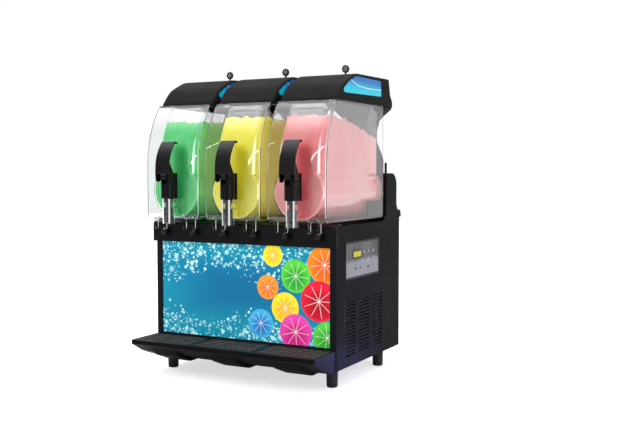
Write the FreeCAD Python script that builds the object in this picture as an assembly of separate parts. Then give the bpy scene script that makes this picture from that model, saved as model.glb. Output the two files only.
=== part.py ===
import FreeCAD, Part
import math
import os

# Triple-bowl slush machine. Lengths are in millimetres.
# +Z is up, the taps face -Y, +X is to the right of someone who faces the taps.
# The origin is on the floor, in the middle of the machine's outer box.

os.makedirs("parts", exist_ok=True)

# Clearances
seat_gap = 0.3
panel_gap = 0.5
running_gap = 0.05
over = 1.0
far = 1000.0
touch = 0.001

# Stations, from left to right, and the spaces round them
station_names = ("left", "centre", "right")
station_pitch = 200.0
outer_half = 95.0

# Cabinet
leg_height = 50.0
body_height = 386.0
rail_height = 61.6
shelf_depth = 22.0
sheet = 1.5
chassis_sheet = 2.0
pan_lip = 22.0
stile_width = 17.5
post_width = 18.0
ledge_depth = 20.0
ledge_thickness = 3.0
pan_vents = 6
pan_vent_width = 6.0
pan_vent_pitch = 16.0
pan_vent_front = 120.0
pan_vent_rear = 220.0

# Rear panel
rear_lip_reach = 12.0
rear_lip_rise = 8.0
rear_lip_height = 21.0
rear_lip_flat = 8.0
rear_lip_slant = 4.0
rear_lip_round = 2.0
rear_vent_columns = 5
rear_vent_rows = 10
rear_vent_length = 64.0
rear_vent_pitch = 84.0
rear_vent_rise = 200.0
rear_vent_slot = 5.0
rear_vent_row_pitch = 14.0
screw_head_radius = 4.5
screw_head_height = 2.2
screw_radius = 2.0
screw_length = 8.0
screw_row_rise = 18.0
screw_row_drop = 6.0

# Rear tower and the shaped tops of the side panels
tower_depth = 77.0
tower_wall = 3.0
shoulder_rise = 30.0
tower_front_round = 14.0
tower_rear_round = 36.0
tower_dip = 16.0
tower_dip_reach = 10.0
tower_dip_round = 12.0
shoulder_round = 6.0
tower_side_gap = 0.4
side_front_round = 3.0
side_notch_round = 36.0

# Feet
foot_radius = 16.5
foot_taper = 1.5
foot_edge_round = 4.0
foot_side_inset = 30.0
foot_front = 34.6
foot_rear_inset = 91.0
stud_radius = 4.0
stud_rise = 12.0
stud_sink = 5.0

# Louvres on both side panels
louvre_columns = 3
louvre_rows = 16
louvre_length = 68.0
louvre_column_gap = 23.0
louvre_slot = 4.4
louvre_pitch = 9.7
louvre_start = 50.0
louvre_rise = 29.0

# Trim band and catch pegs
trim_side_proud = 5.0
trim_drop = 56.0
trim_height = 55.0
trim_proud = 10.0
trim_wall = 3.0
trim_return = 22.0
trim_round = 7.0
trim_tip_round = 2.0
trim_bowl_gap = 2.0
cap_inset = 0.5
peg_head_radius = 10.5
peg_neck_radius = 5.0
peg_collar_radius = 8.0
peg_collar_length = 3.0
peg_boss_radius = 11.0
peg_offset = 50.0
peg_rise = 29.0
peg_reach = 31.0
dish_radius = 19.0
dish_floor_radius = 15.0
dish_depth = 1.2

# Light panel and the lit board behind it
light_thickness = 4.0
light_recess = 1.5
board_thickness = 3.0
board_gap = 9.0
lamp_size = 5.0
lamp_height = 1.6
lamp_columns = 12
lamp_rows = 5

# Bowls: a clear outer jacket round a tank that ends below in a round trough
bowl_rise = 9.0
bowl_height = 327.5
bowl_overhang = 52.0
bowl_length = 368.0
bowl_gap = 20.0
bowl_wall = 3.0
bowl_lean_drop = 76.5
bowl_lean_radius = 270.0
bowl_lean_back = 60.0
bowl_lean_share = 1.5
bowl_run_out = 60.0
bowl_foot_radius = 18.0
bowl_heel_radius = 14.0
bowl_corner_radius = 6.0
bowl_front_zone = 110.0
bowl_edge_zone = 150.0
rim_thickness = 5.0
duct_hole_gap = 0.3
pad_width = 16.0
pad_offset = 40.0
pad_front_gap = 4.0
pad_rear_gap = 12.0
fork_half_gap = 14.0
fork_thickness = 2.6
fork_drop = 26.0
fork_depth = 13.0
fork_inset = 6.0
fork_round = 5.0
fork_root = 8.0
fork_root_low = 2.0
fork_root_high = 12.0

tank_front_gap = 15.0
tank_side_gap = 24.0
tank_wall = 3.0
tank_corner_radius = 24.0
tank_tail = 6.0
tank_mouth_gap = 1.1
trough_radius = 78.0
trough_floor_gap = 0.5
trough_nose_radius = 8.0

# Evaporator, auger and drive
drum_radius = 55.0
drum_wall = 2.0
drum_hub_gap = 29.0
drum_flange_proud = 7.0
drum_flange = 4.0
drum_dome_radius = 8.0
shaft_radius = 8.0
shaft_tube_wall = 3.0
shaft_seat = 8.0
sleeve_tail = 4.0
auger_drum_gap = 1.6
auger_trough_gap = 3.5
auger_flight = 7.0
auger_turns = 4.5
auger_tail_gap = 35.0
auger_hub_radius = 17.0
auger_hub_length = 20.0
auger_hub_end = 4.0
auger_arm_width = 12.0
auger_arm_root = 13.0
auger_arms = 3
auger_ring_length = 7.0
auger_ring_overlap = 0.6
auger_nose_gap = 13.0
auger_end_gap = 2.0
drive_square = 11.0
gasket_space = 9.0
gasket_inset = 1.0
gasket_flange_gap = 0.1
motor_radius = 33.0
motor_length = 42.0
gearbox_size = 74.0
gearbox_length = 10.0
gearbox_round = 3.0
gearbox_top_gap = 10.5

# Slush in the bowls, filled to a level of its own in each
slush_front_drops = (54.5, 44.5, 47.0)
slush_rear_drop = 96.5
slush_level_end = 110.0
slush_bend_radius = 60.0
slush_auger_gap = 0.7

# Bowl cradles
cradle_floor_gap = 6.0
cradle_height = 44.0
cradle_reach = 108.0
cradle_thickness = 8.0
cradle_side_gap = 2.0
cradle_round = 6.0
cradle_root = 0.5
post_offset = 78.5
post_half = 2.5
post_setback = 29.0
post_depth = 6.0
post_height = 31.0

# Taps
tap_reach = 18.0
spout_radius = 16.5
spout_wall = 3.0
spout_drop = 9.0
spout_height = 102.0
housing_lap = 32.0
housing_cover = 12.0
housing_wall = 4.0
housing_chamfer = 3.0
plate_half_width = 20.0
plate_thickness = 4.6
plate_round = 2.0
web_side_inset = 6.0
web_end_inset = 4.0
duct_drop = 37.5
duct_radius = 9.0
duct_wall = 2.6
pivot_reach = 16.0
pivot_rise = 28.0
pivot_radius = 3.0
pin_inset = 0.2

# Tap handles
handle_width = 46.0
handle_wall = 4.0
handle_cheek = 2.0
handle_reach = 13.0
handle_low_rise = 9.0
handle_bend_rise = 64.0
handle_bend_out = 2.0
handle_bend_radius = 110.0
handle_crown_rise = 102.0
handle_crown_reach = 33.0
handle_crown_round = 6.0
handle_lip_rise = 97.0
handle_lip_reach = 44.0
handle_lip_round = 1.5
cheek_drop = 12.0
cheek_round = 8.0
cheek_rear_reach = 9.0
cheek_front_reach = 11.0
cheek_rise = 42.0
cheek_top_depth = 5.8
cheek_shoulder = 12.0
hub_radius = 6.5
hub_half = 9.2
hub_web_root = 3.0
hub_web_high = 30.0

# The fork on each handle and the plunger that it lifts
lever_arm = 19.5
lever_rest = math.radians(35.0)
lever_root = 3.0
tip_radius = 2.4
tip_neck_reach = 0.8
tip_neck_rise = 1.1
piston_gap = 0.08
piston_rise = 26.0
piston_length = 47.0
piston_rod_radius = 5.0
piston_waist_wall = 3.0
piston_land = 8.0
collar_radius = 9.8
collar_thickness = 2.6
collar_flat = 0.4
collar_play = 0.6
collar_side_gap = 0.6
ring_section = 1.4
ring_low_rise = 12.0
ring_high_drop = 5.0

# Lids
lid_side_inset = 1.1
lid_height = 83.0
lid_wall = 3.0
lid_setback = 72.0
lid_nose_reach = 2.0
lid_nose_rise = 8.0
lid_nose_round = 12.0
lid_brow_reach = 36.0
lid_brow_rise = 47.0
lid_brow_round = 90.0
lid_crown_reach = 108.0
lid_crown_drop = 3.0
lid_crown_round = 120.0
lid_back_inset = 26.0
lid_back_round = 5.0
lid_step_inset = 16.0
lid_step_rise = 38.0
lid_step_round = 8.0
lid_tail_rise = 18.0
lid_tail_round = 4.0
lid_rear_overhang = 6.0
lid_edge_round = 6.0
lid_edge_start = 30.0
lid_skirt_gap = 0.6
lid_skirt_depth = 8.0
lid_skirt_wall = 2.0
lid_skirt_round = 18.0
lid_skirt_inset = 14.0
lid_ledge_inset = 1.0
lid_ledge_setback = 10.0
lid_ledge_round = 12.0

# Side windows of the lids: each corner's reach from the lid's front or rear, its rise and its rounding
window_recess = 1.4
window_thickness = 1.2
window_nose = (31.0, 30.0, 6.0)
window_front_sill = (43.0, 22.0, 6.0)
window_rear_sill = (-84.0, 27.0, 7.0)
window_rear_head = (-89.0, 72.0, 7.0)
window_front_head = (112.0, 72.0, 10.0)
window_brow = (67.0, 54.0, 14.0)

# Lid locks and keys
lock_setback = 141.0
lock_proud = 6.0
lock_radius = 9.0
lock_length = 14.0
key_rise = 18.0
key_bow_radius = 11.5
key_bow_thickness = 5.0
key_bow_round = 1.2
key_bow_root = 3.0
key_stem_radius = 3.0
key_collar_wall = 2.5
key_collar_thickness = 2.0
key_blade_depth = 14.0

# Masts behind the bowls
mast_setback = 3.0
mast_depth = 50.0
mast_wall = 3.0
mast_lid_gap = 0.8
mast_flare = 4.0
mast_lid_inset = 2.0
mast_foot_half = 62.0
mast_foot_rise = 40.0
mast_foot_round = 8.0
mast_waist_half = 33.0
mast_waist_rise = 106.0
mast_waist_round = 60.0
mast_neck_half = 47.0
mast_neck_drop = 36.0
mast_neck_round = 20.0
mast_sink = 6.0

# Drip trays
tray_reach = 122.0
tray_top_drop = 5.6
tray_height = 56.0
tray_lip = 12.0
tray_lip_round = 2.0
tray_knee_reach = 76.0
tray_knee_rise = 17.5
tray_knee_round = 20.0
tray_heel_reach = 30.0
tray_heel_round = 14.0
tray_wall = 2.5
tray_gap = 0.6
tray_end_gap = 1.5
tray_rim = 9.0
tray_rear_rim = 5.0
tray_shelf = 5.0
tray_seat_depth = 9.0
belly_half = 47.0
belly_drop = 10.0
belly_heel_reach = 28.0
belly_heel_round = 14.0
belly_knee_reach = 88.0
belly_knee_rise = 13.0
belly_knee_round = 20.0
belly_top_reach = 117.0
belly_top_drop = 12.5
belly_side_round = 9.0
tongue_width = 24.0
tongue_drop = 14.0
tongue_thickness = 3.0
tongue_length = 8.0
tongue_offset = 60.0
tongue_gap = 0.4

# Drip grilles
grille_thickness = 3.0
grille_drop = 0.2
grille_gap = 0.5
grille_round = 3.0
grille_slot_width = 3.4
grille_slot_length = 15.0
grille_slot_pitch = 7.0
grille_end_margin = 8.0
grille_rows = 4
grille_row_pitch = 22.0
grille_bar_half = 9.0

# Compressor
compressor_radius = 72.0
compressor_rise = 14.0
compressor_height = 184.0
compressor_x = -150.0
compressor_y = 250.0
compressor_round = 30.0
compressor_seam = 96.0
compressor_seam_height = 5.0
compressor_seam_proud = 2.5
compressor_feet = 3
compressor_foot_reach = 84.0
compressor_foot_radius = 10.0
compressor_arm_half = 9.0
compressor_arm_low = 2.0
compressor_arm_high = 5.0
terminal_half = 24.0
terminal_reach = 22.0
terminal_root = 8.0
terminal_low = 40.0
terminal_high = 100.0

# Condenser and its fan
condenser_side_gap = 3.5
condenser_thickness = 44.0
condenser_rise = 18.0
condenser_height = 210.0
condenser_front = 60.0
condenser_rear = 290.0
condenser_plate = 2.0
condenser_fin = 1.2
condenser_fin_pitch = 8.0
condenser_fin_margin = 6.0
condenser_fin_inset = 2.0
condenser_pipe_rows = 5
condenser_pipe_ends = 8.0
fan_rise = 10.0
fan_radius = 84.0
fan_box_margin = 14.0
fan_tip_gap = 3.0
fan_blades = 5
fan_blade_half = 22.0
fan_blade_thickness = 2.4
fan_blade_twist = 28.0
fan_blade_root = 4.0
fan_hub_radius = 20.0
fan_hub_length = 22.0
fan_hub_gap = 3.0
fan_shaft_radius = 3.0
fan_shroud_wall = 2.5
fan_shroud_depth = 42.0
fan_motor_radius = 30.0
fan_motor_length = 40.0
fan_motor_gap = 6.0
fan_motor_cap = 10.0
fan_arms = 4
fan_arm_half = 5.0
fan_arm_thickness = 4.0
fan_arm_place = 6.0
fan_post_radius = 4.0
fan_post_margin = 10.0

# Refrigerant pipes
pipe_radius = 4.0
pipe_bend = 12.0
pipe_rise = 80.0
discharge_offset = 30.0
riser_first_offset = -30.0
riser_spacing = 12.0
riser_back = 24.0
riser_level_rise = 24.0
riser_level_step = 16.0
riser_setback = 41.0
riser_x = 52.0
riser_drop = 20.0

# Control panel and the circuit board behind it
overlay_front = 53.0
overlay_length = 223.0
overlay_height = 103.0
overlay_drop = 45.0
overlay_thickness = 1.2
overlay_frame = 4.0
overlay_round = 4.0
overlay_field_round = 2.0
circuit_standoff = 11.5
circuit_thickness = 1.6
circuit_length = 170.0
circuit_height = 88.0
circuit_inset = 7.0
circuit_edge = 7.0
circuit_post_radius = 3.0
transformer_place = 16.0
transformer_length = 42.0
transformer_height = 26.0
relay_place = 70.0
relay_pitch = 34.0
relay_length = 22.0
relay_height = 15.0
relays = 2
circuit_row = 14.0

# Power switch and cable gland
switch_side_inset = 80.0
switch_rise = 70.0
switch_width = 24.0
switch_height = 34.0
switch_gap = 0.4
switch_wall = 1.6
switch_depth = 22.0
switch_flange = 2.0
switch_pin_radius = 1.5
switch_pivot_depth = 6.0
switch_proud = 5.0
switch_tilt = 3.0
switch_tail = 6.0
switch_tail_round = 3.0
switch_end_round = 1.0
rocker_end_gap = 2.6
rocker_side_gap = 0.8
inlet_side_inset = 145.0
gland_radius = 9.0
gland_bore = 4.5
gland_thread_gap = 0.1
gland_flange_wall = 4.0
gland_flange = 3.0
gland_dome = 9.0
gland_dome_wall = 2.0
gland_tip_wall = 2.5
gland_stub = 16.0
gland_nut = 5.0

# Places that follow from the sizes above, from the taps to the rear
bowl_front = -bowl_overhang
bowl_rear = bowl_front + bowl_length
tank_front = bowl_front + tank_front_gap
tank_rear = bowl_rear + tank_tail
tower_front = tank_rear + gasket_space
tower_rear = tower_front + tower_depth
body_depth = tower_rear + shelf_depth
overall_depth = tray_reach + body_depth + rear_lip_reach
front_y = tray_reach - overall_depth / 2
chassis_rear = body_depth - sheet - panel_gap
foot_rear = body_depth - foot_rear_inset
mast_front = tower_front + mast_setback
lid_front = bowl_front + lid_setback
lid_rear = mast_front + mast_depth + lid_rear_overhang
lock_y = lid_rear - lock_setback
tap_y = bowl_front - tap_reach
pivot_y = tap_y - pivot_reach
handle_front = pivot_y - handle_reach
auger_way_front = tank_front + tank_wall + auger_nose_gap
auger_front = auger_way_front + auger_end_gap
auger_middle = auger_front + auger_hub_length / 2
auger_length = tower_front - auger_tail_gap - auger_ring_length / 2 - auger_middle
drum_front = auger_front + auger_hub_length + drum_hub_gap
motor_front = tower_front + tower_wall + sleeve_tail + seat_gap
riser_y = tower_front + riser_setback
overlay_rear = overlay_front + overlay_length
circuit_front = overlay_front + circuit_inset
fan_y = (condenser_front + condenser_rear) / 2
switch_pivot_y = body_depth - switch_pivot_depth

# Heights, from the floor up
floor_z = leg_height + chassis_sheet
deck_height = leg_height + body_height
deck_under = deck_height - sheet - panel_gap
light_low = leg_height + rail_height
tray_high = light_low - tray_top_drop
tray_low = tray_high - tray_height
tongue_low = tray_high - tongue_drop
tongue_high = tongue_low + tongue_thickness
trim_low = deck_height - trim_drop
trim_high = trim_low + trim_height
peg_height = trim_low + peg_rise
bowl_low = deck_height + bowl_rise
bowl_high = bowl_low + bowl_height
axis_height = bowl_low + bowl_wall + trough_floor_gap + trough_radius
duct_height = axis_height - duct_drop
spout_low = bowl_low - spout_drop
spout_high = spout_low + spout_height
pivot_z = spout_high + pivot_rise
housing_low = spout_high - housing_lap
housing_high = pivot_z + housing_cover
piston_low = spout_low + piston_rise
piston_high = piston_low + piston_length
tower_shoulder = deck_height + shoulder_rise
tower_top = axis_height + gearbox_size / 2 + gearbox_top_gap + tower_wall
rear_lip_low = deck_height + rear_lip_rise
rear_lip_high = rear_lip_low + rear_lip_height
lid_low = bowl_high + seat_gap
lid_high = lid_low + lid_height
lock_high = lid_high + lock_proud
key_height = lock_high + key_rise
mast_high = lid_low - mast_lid_gap
compressor_low = floor_z + compressor_rise
compressor_high = compressor_low + compressor_height
pipe_shelf = compressor_high + pipe_rise
condenser_low = floor_z + condenser_rise
condenser_high = floor_z + condenser_height
overlay_high = deck_height - overlay_drop
overlay_low = overlay_high - overlay_height
circuit_low = overlay_low + circuit_inset
switch_z = leg_height + switch_rise

# Widths and radii that follow from the sizes above
half_body = station_pitch + outer_half
half_inside = half_body - sheet
chassis_half = half_inside - panel_gap
light_half_width = chassis_half - stile_width
light_half = light_half_width - seat_gap
trim_half = half_body + trim_side_proud
foot_x = half_body - foot_side_inset
screw_column = chassis_half - post_width / 2
bowl_half_width = (station_pitch - bowl_gap) / 2
tank_half_width = bowl_half_width - tank_side_gap
cradle_outer = bowl_half_width - bowl_wall - cradle_side_gap
cradle_inner = cradle_outer - cradle_thickness
lid_half_width = bowl_half_width - lid_side_inset
auger_inner_radius = drum_radius + auger_drum_gap
auger_outer_radius = trough_radius - tank_wall - auger_trough_gap
auger_pitch = auger_length / auger_turns
tank_mouth_radius = auger_outer_radius + tank_mouth_gap
drum_flange_radius = drum_radius + drum_flange_proud
gasket_radius = trough_radius - gasket_inset
sleeve_radius = shaft_radius + running_gap + shaft_tube_wall
housing_radius = spout_radius + housing_wall
piston_radius = spout_radius - spout_wall - piston_gap
tip_y = pivot_y + lever_arm * math.cos(lever_rest)
tip_z = pivot_z - lever_arm * math.sin(lever_rest)
fan_box_half = fan_radius + fan_box_margin
fan_z = floor_z + fan_box_half + fan_rise
fan_post_offset = fan_radius + fan_post_margin
condenser_x = half_inside - condenser_side_gap - condenser_thickness / 2
condenser_inner = condenser_x - condenser_thickness / 2
shroud_front = condenser_inner - fan_shroud_depth
fan_motor_start = shroud_front - fan_motor_length - fan_motor_gap
circuit_x = half_inside - circuit_standoff
switch_x = switch_side_inset - half_body
inlet_x = inlet_side_inset - half_body
rocker_half = switch_height / 2 - switch_wall - rocker_end_gap
rocker_half_width = switch_width / 2 - switch_wall - rocker_side_gap
stations = tuple((index - 1) * station_pitch for index in range(len(station_names)))
peg_places = tuple(x + side * peg_offset for x in stations for side in (-1, 1))
tongue_places = tuple(x + side * tongue_offset for x in stations for side in (-1, 1))
screw_columns = (-screw_column, -screw_column / 3, screw_column / 3, screw_column)
screw_rows = (leg_height + screw_row_rise, deck_height - screw_row_drop)
screw_places = tuple((x, z) for z in screw_rows for x in screw_columns)

X = FreeCAD.Vector(1, 0, 0)
Y = FreeCAD.Vector(0, 1, 0)
Z = FreeCAD.Vector(0, 0, 1)


def point(x, y, z):
    """A point whose y is counted from the cabinet's front plane."""
    return FreeCAD.Vector(x, front_y + y, z)


def box(x_low, x_high, y_low, y_high, z_low, z_high):
    return Part.makeBox(x_high - x_low, y_high - y_low, z_high - z_low, point(x_low, y_low, z_low))


def centred_box(middle, half, y_low, y_high, z_low, z_high):
    return box(middle - half, middle + half, y_low, y_high, z_low, z_high)


def region(y_low=-far, y_high=far, z_low=-far, z_high=far):
    """All of the space between the given limits."""
    return box(-far, far, y_low, y_high, z_low, z_high)


def rod(radius, start, axis, length):
    return Part.makeCylinder(radius, length, start, axis)


def tube(outer, inner, start, axis, length):
    return rod(outer, start, axis, length).cut(rod(inner, start, axis, length))


def joined(shapes):
    first, *others = shapes
    return first.multiFuse(others).removeSplitter() if others else first


def carved(shape, tools):
    """The shape with every tool cut out of it."""
    return shape.cut(Part.makeCompound(tools))


def both_sides(shape):
    """The shape and its mirror image on the machine's other side."""
    return [shape, shape.mirror(point(0, 0, 0), X)]


def wire(corners, place):
    """A closed outline of straight lines; a corner's third number rounds it with that radius."""
    count = len(corners)
    spots = [place(corner[0], corner[1]) for corner in corners]
    ends = []
    for index, corner in enumerate(corners):
        spot = spots[index]
        if len(corner) < 3:
            ends.append((spot, None, spot))
            continue
        radius = corner[2]
        before = (spots[index - 1] - spot).normalize()
        after = (spots[(index + 1) % count] - spot).normalize()
        half = before.getAngle(after) / 2
        reach = radius / math.tan(half)
        middle = spot + (before + after).normalize() * (radius / math.sin(half) - radius)
        ends.append((spot + before * reach, middle, spot + after * reach))
    edges = []
    for index, (start, middle, end) in enumerate(ends):
        if middle is not None:
            edges.append(Part.Arc(start, middle, end).toShape())
        following = ends[(index + 1) % count][0]
        if (following - end).Length > touch:
            edges.append(Part.LineSegment(end, following).toShape())
    return Part.Wire(edges)


def side_face(corners, x):
    """A face in the plane of constant x, from (y, z) corners."""
    return Part.Face(wire(corners, lambda y, z: point(x, y, z)))


def side_slab(corners, x_first, x_second):
    x_low = min(x_first, x_second)
    return side_face(corners, x_low).extrude(X * abs(x_second - x_first))


def plan_slab(corners, z_low, z_high):
    """A prism that stands on (x, y) corners."""
    return Part.Face(wire(corners, lambda x, y: point(x, y, z_low))).extrude(Z * (z_high - z_low))


def front_face(corners, y):
    """A face in the plane of constant y, from (x, z) corners."""
    return Part.Face(wire(corners, lambda x, z: point(x, y, z)))


def rounded_box(middle, half, y_low, y_high, z_low, z_high, radius):
    """A box whose four upright edges are rounded."""
    corners = (
        (middle - half, y_low, radius),
        (middle + half, y_low, radius),
        (middle + half, y_high, radius),
        (middle - half, y_high, radius),
    )
    return plan_slab(corners, z_low, z_high)


def flat_edges(shape, axis_low, axis_high, low, high):
    """The edges that lie between two values of one of the shape's bounds."""
    return [edge for edge in shape.Edges
            if getattr(edge.BoundBox, axis_low) > low and getattr(edge.BoundBox, axis_high) < high]


def in_plane(edge, planes):
    """Whether an edge lies in one of the planes of constant x."""
    bounds = edge.BoundBox
    return any(abs(bounds.XMin - x) < touch and abs(bounds.XMax - x) < touch for x in planes)


def save(name, shapes):
    """Write one node; shapes that don't touch stay separate solids."""
    solids = [solid for shape in shapes for solid in shape.Solids]
    whole = solids[0] if len(solids) == 1 else Part.makeCompound(solids)
    whole.exportStep("parts/" + name + ".step")
    state = "valid" if whole.isValid() else "NOT VALID"
    print(name, len(solids), "solids", round(whole.Volume / 1000, 1), "cm3", state)


# Cabinet

def louvres():
    """The slots that let air through both side panels."""
    slots = []
    for column in range(louvre_columns):
        y = louvre_start + column * (louvre_length + louvre_column_gap)
        for row in range(louvre_rows):
            z = leg_height + louvre_rise + row * louvre_pitch
            slots.append(box(-far, far, y, y + louvre_length, z, z + louvre_slot))
    return slots


def hump_outline(low):
    """The rear hump of the cabinet, from the deck up over the tower and down to the rear panel."""
    return (
        (tower_front, tower_top, tower_front_round),
        (tower_rear, tower_top, tower_rear_round),
        (tower_rear, tower_shoulder + tower_dip, tower_dip_round),
        (tower_rear + tower_dip_reach, tower_shoulder, shoulder_round),
        (chassis_rear, tower_shoulder),
        (chassis_rear, low),
    )


def side_panels():
    outline = (
        (0.0, leg_height),
        (0.0, deck_height, side_front_round),
        (tower_front, deck_height, side_notch_round),
    ) + hump_outline(leg_height)
    panel = carved(side_slab(outline, half_inside, half_body), louvres())
    return both_sides(panel)


def chassis():
    """Pan, rails, hollow front stiles and rear posts, as one welded frame."""
    pan = centred_box(0.0, chassis_half, 0.0, chassis_rear, leg_height, floor_z)
    vents = [centred_box((index + 0.5 - pan_vents / 2) * pan_vent_pitch, pan_vent_width / 2,
                         pan_vent_front, pan_vent_rear, leg_height - over, floor_z + over)
             for index in range(pan_vents)]
    rail = centred_box(0.0, chassis_half, 0.0, chassis_sheet, leg_height, light_low)
    ledge = centred_box(0.0, chassis_half, 0.0, ledge_depth, light_low - ledge_thickness, light_low)
    top_rail = centred_box(0.0, chassis_half, 0.0, stile_width, trim_low, deck_under)
    lip = box(chassis_half - chassis_sheet, chassis_half, 0.0, chassis_rear, leg_height, leg_height + pan_lip)
    stile = box(light_half_width, chassis_half, 0.0, stile_width, leg_height, deck_under)
    pocket = box(light_half_width + chassis_sheet, chassis_half - chassis_sheet,
                 chassis_sheet, stile_width + over, floor_z, trim_low)
    post = box(chassis_half - post_width, chassis_half, chassis_rear - post_width, chassis_rear,
               leg_height, deck_height)
    pieces = [pan, rail, ledge, top_rail]
    for piece in (lip, stile.cut(pocket), post):
        pieces += both_sides(piece)
    stud_holes = [rod(stud_radius + seat_gap, point(x, y, leg_height - over), Z, chassis_sheet + 2 * over)
                  for x in (-foot_x, foot_x) for y in (foot_front, foot_rear)]
    screw_holes = [rod(screw_radius + running_gap, point(x, chassis_rear - post_width - over, z), Y,
                       post_width + 2 * over)
                   for x, z in screw_places if abs(x) == screw_column]
    tongue_slots = [centred_box(x, tongue_width / 2 + tongue_gap, -over, chassis_sheet + over,
                                tongue_low - tongue_gap, tongue_high + tongue_gap) for x in tongue_places]
    return carved(joined(pieces), stud_holes + vents + screw_holes + tongue_slots)


def feet():
    made = []
    for x in (-foot_x, foot_x):
        for y in (foot_front, foot_rear):
            leg = Part.makeCone(foot_radius - foot_taper, foot_radius, leg_height, point(x, y, 0.0), Z)
            leg = leg.makeFillet(foot_edge_round, flat_edges(leg, "ZMin", "ZMax", -over, over))
            stud = rod(stud_radius, point(x, y, leg_height - stud_sink), Z, stud_rise + stud_sink)
            made.append(joined([leg, stud]))
    return made


def rear_panel():
    """The vented back, with a folded lip along its upper edge."""
    inner = body_depth - sheet
    plate = centred_box(0.0, half_body, inner, body_depth, leg_height, rear_lip_high)
    lip_end = body_depth + rear_lip_reach
    lip = side_slab((
        (inner, rear_lip_low),
        (lip_end, rear_lip_low, rear_lip_round),
        (lip_end, rear_lip_low + rear_lip_flat),
        (lip_end - rear_lip_slant, rear_lip_high, rear_lip_round),
        (inner, rear_lip_high),
    ), -half_body, half_body)
    outer = body_depth + over
    openings = []
    for column in range(rear_vent_columns):
        x = (column - (rear_vent_columns - 1) / 2) * rear_vent_pitch
        for row in range(rear_vent_rows):
            z = leg_height + rear_vent_rise + row * rear_vent_row_pitch
            openings.append(centred_box(x, rear_vent_length / 2, inner - over, outer, z, z + rear_vent_slot))
    openings.append(centred_box(switch_x, switch_width / 2 + switch_gap, inner - over, outer,
                                switch_z - switch_height / 2 - switch_gap,
                                switch_z + switch_height / 2 + switch_gap))
    openings.append(rod(gland_radius, point(inlet_x, inner - over, switch_z), Y, sheet + 2 * over))
    openings += [rod(screw_radius, point(x, inner - over, z), Y, sheet + 2 * over) for x, z in screw_places]
    return carved(joined([plate, lip]), openings)


def rear_screws():
    made = []
    for x, z in screw_places:
        head = rod(screw_head_radius, point(x, body_depth, z), Y, screw_head_height)
        shank = rod(screw_radius, point(x, body_depth - screw_length, z), Y, screw_length)
        made.append(joined([head, shank]))
    return made


def front_trim():
    """The band under the bowls: one bent wall that laps over the cabinet's top edge."""
    inner = trim_wall - trim_proud
    top = bowl_low - trim_bowl_gap
    skin = side_slab((
        (-trim_proud, trim_low),
        (-trim_proud, trim_high, trim_round),
        (trim_return, top, trim_tip_round),
        (trim_return, top - trim_wall),
        (0.0, deck_height + panel_gap),
        (inner, trim_high - trim_wall, trim_round - trim_wall),
        (inner, trim_low + trim_wall),
        (-seat_gap, trim_low + trim_wall),
        (-seat_gap, trim_low),
    ), -trim_half, trim_half)
    cap = box(trim_half - trim_wall, trim_half, cap_inset - trim_proud, -seat_gap,
              trim_low + cap_inset, trim_high - trim_round)
    bosses = [rod(peg_boss_radius, point(x, inner - cap_inset, peg_height), Y, cap_inset - seat_gap - inner)
              for x in peg_places]
    holes = [rod(peg_neck_radius + seat_gap, point(x, -far, peg_height), Y, 2 * far)
             for x in peg_places]
    dishes = [Part.makeCone(dish_radius, dish_floor_radius, dish_depth, point(x, -trim_proud, peg_height), Y)
              for x in peg_places]
    return carved(joined([skin] + both_sides(cap) + bosses), holes + dishes)


def catch_pegs():
    """Round-headed pegs that the two forks of each bowl straddle."""
    made = []
    middle = peg_head_radius - peg_reach
    for x in peg_places:
        head = Part.makeSphere(peg_head_radius, point(x, middle, peg_height))
        neck = rod(peg_neck_radius, point(x, middle, peg_height), Y, -middle)
        start = dish_depth - trim_proud - peg_collar_length
        collar = rod(peg_collar_radius, point(x, start, peg_height), Y, peg_collar_length)
        made.append(joined([head, neck, collar]))
    return made


def light_panel():
    return centred_box(0.0, light_half, light_recess, light_recess + light_thickness,
                       light_low, trim_low - seat_gap)


def light_board():
    """The lit board behind the panel: a sheet with a grid of small lamps on its front."""
    front = light_recess + light_thickness + board_gap
    plate = centred_box(0.0, light_half, front, front + board_thickness, light_low, trim_low - seat_gap)
    lamps = []
    for column in range(lamp_columns):
        x = (column + 0.5 - lamp_columns / 2) * 2 * light_half / lamp_columns
        for row in range(lamp_rows):
            z = light_low + (row + 0.5) * (trim_low - light_low) / lamp_rows
            lamps.append(centred_box(x, lamp_size / 2, front - lamp_height, front,
                                     z - lamp_size / 2, z + lamp_size / 2))
    return joined([plate] + lamps)


def deck():
    """The plate over the cabinet, with two pads under each bowl."""
    plate = centred_box(0.0, chassis_half, panel_gap, tower_front - panel_gap, deck_under, deck_under + sheet)
    pads = [centred_box(x + side * pad_offset, pad_width / 2, trim_return + pad_front_gap,
                        bowl_rear - pad_rear_gap, deck_under + sheet / 2, bowl_low - seat_gap)
            for x in stations for side in (-1, 1)]
    return joined([plate] + pads)


def tower_block(inset):
    """The tower's whole block; an inset shrinks its outline by a wall."""
    half = half_inside - tower_side_gap
    face = side_face(((tower_front, deck_height),) + hump_outline(deck_height), -half)
    if inset:
        face = face.makeOffset2D(-inset)
    return face.extrude(X * 2 * half)


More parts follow.
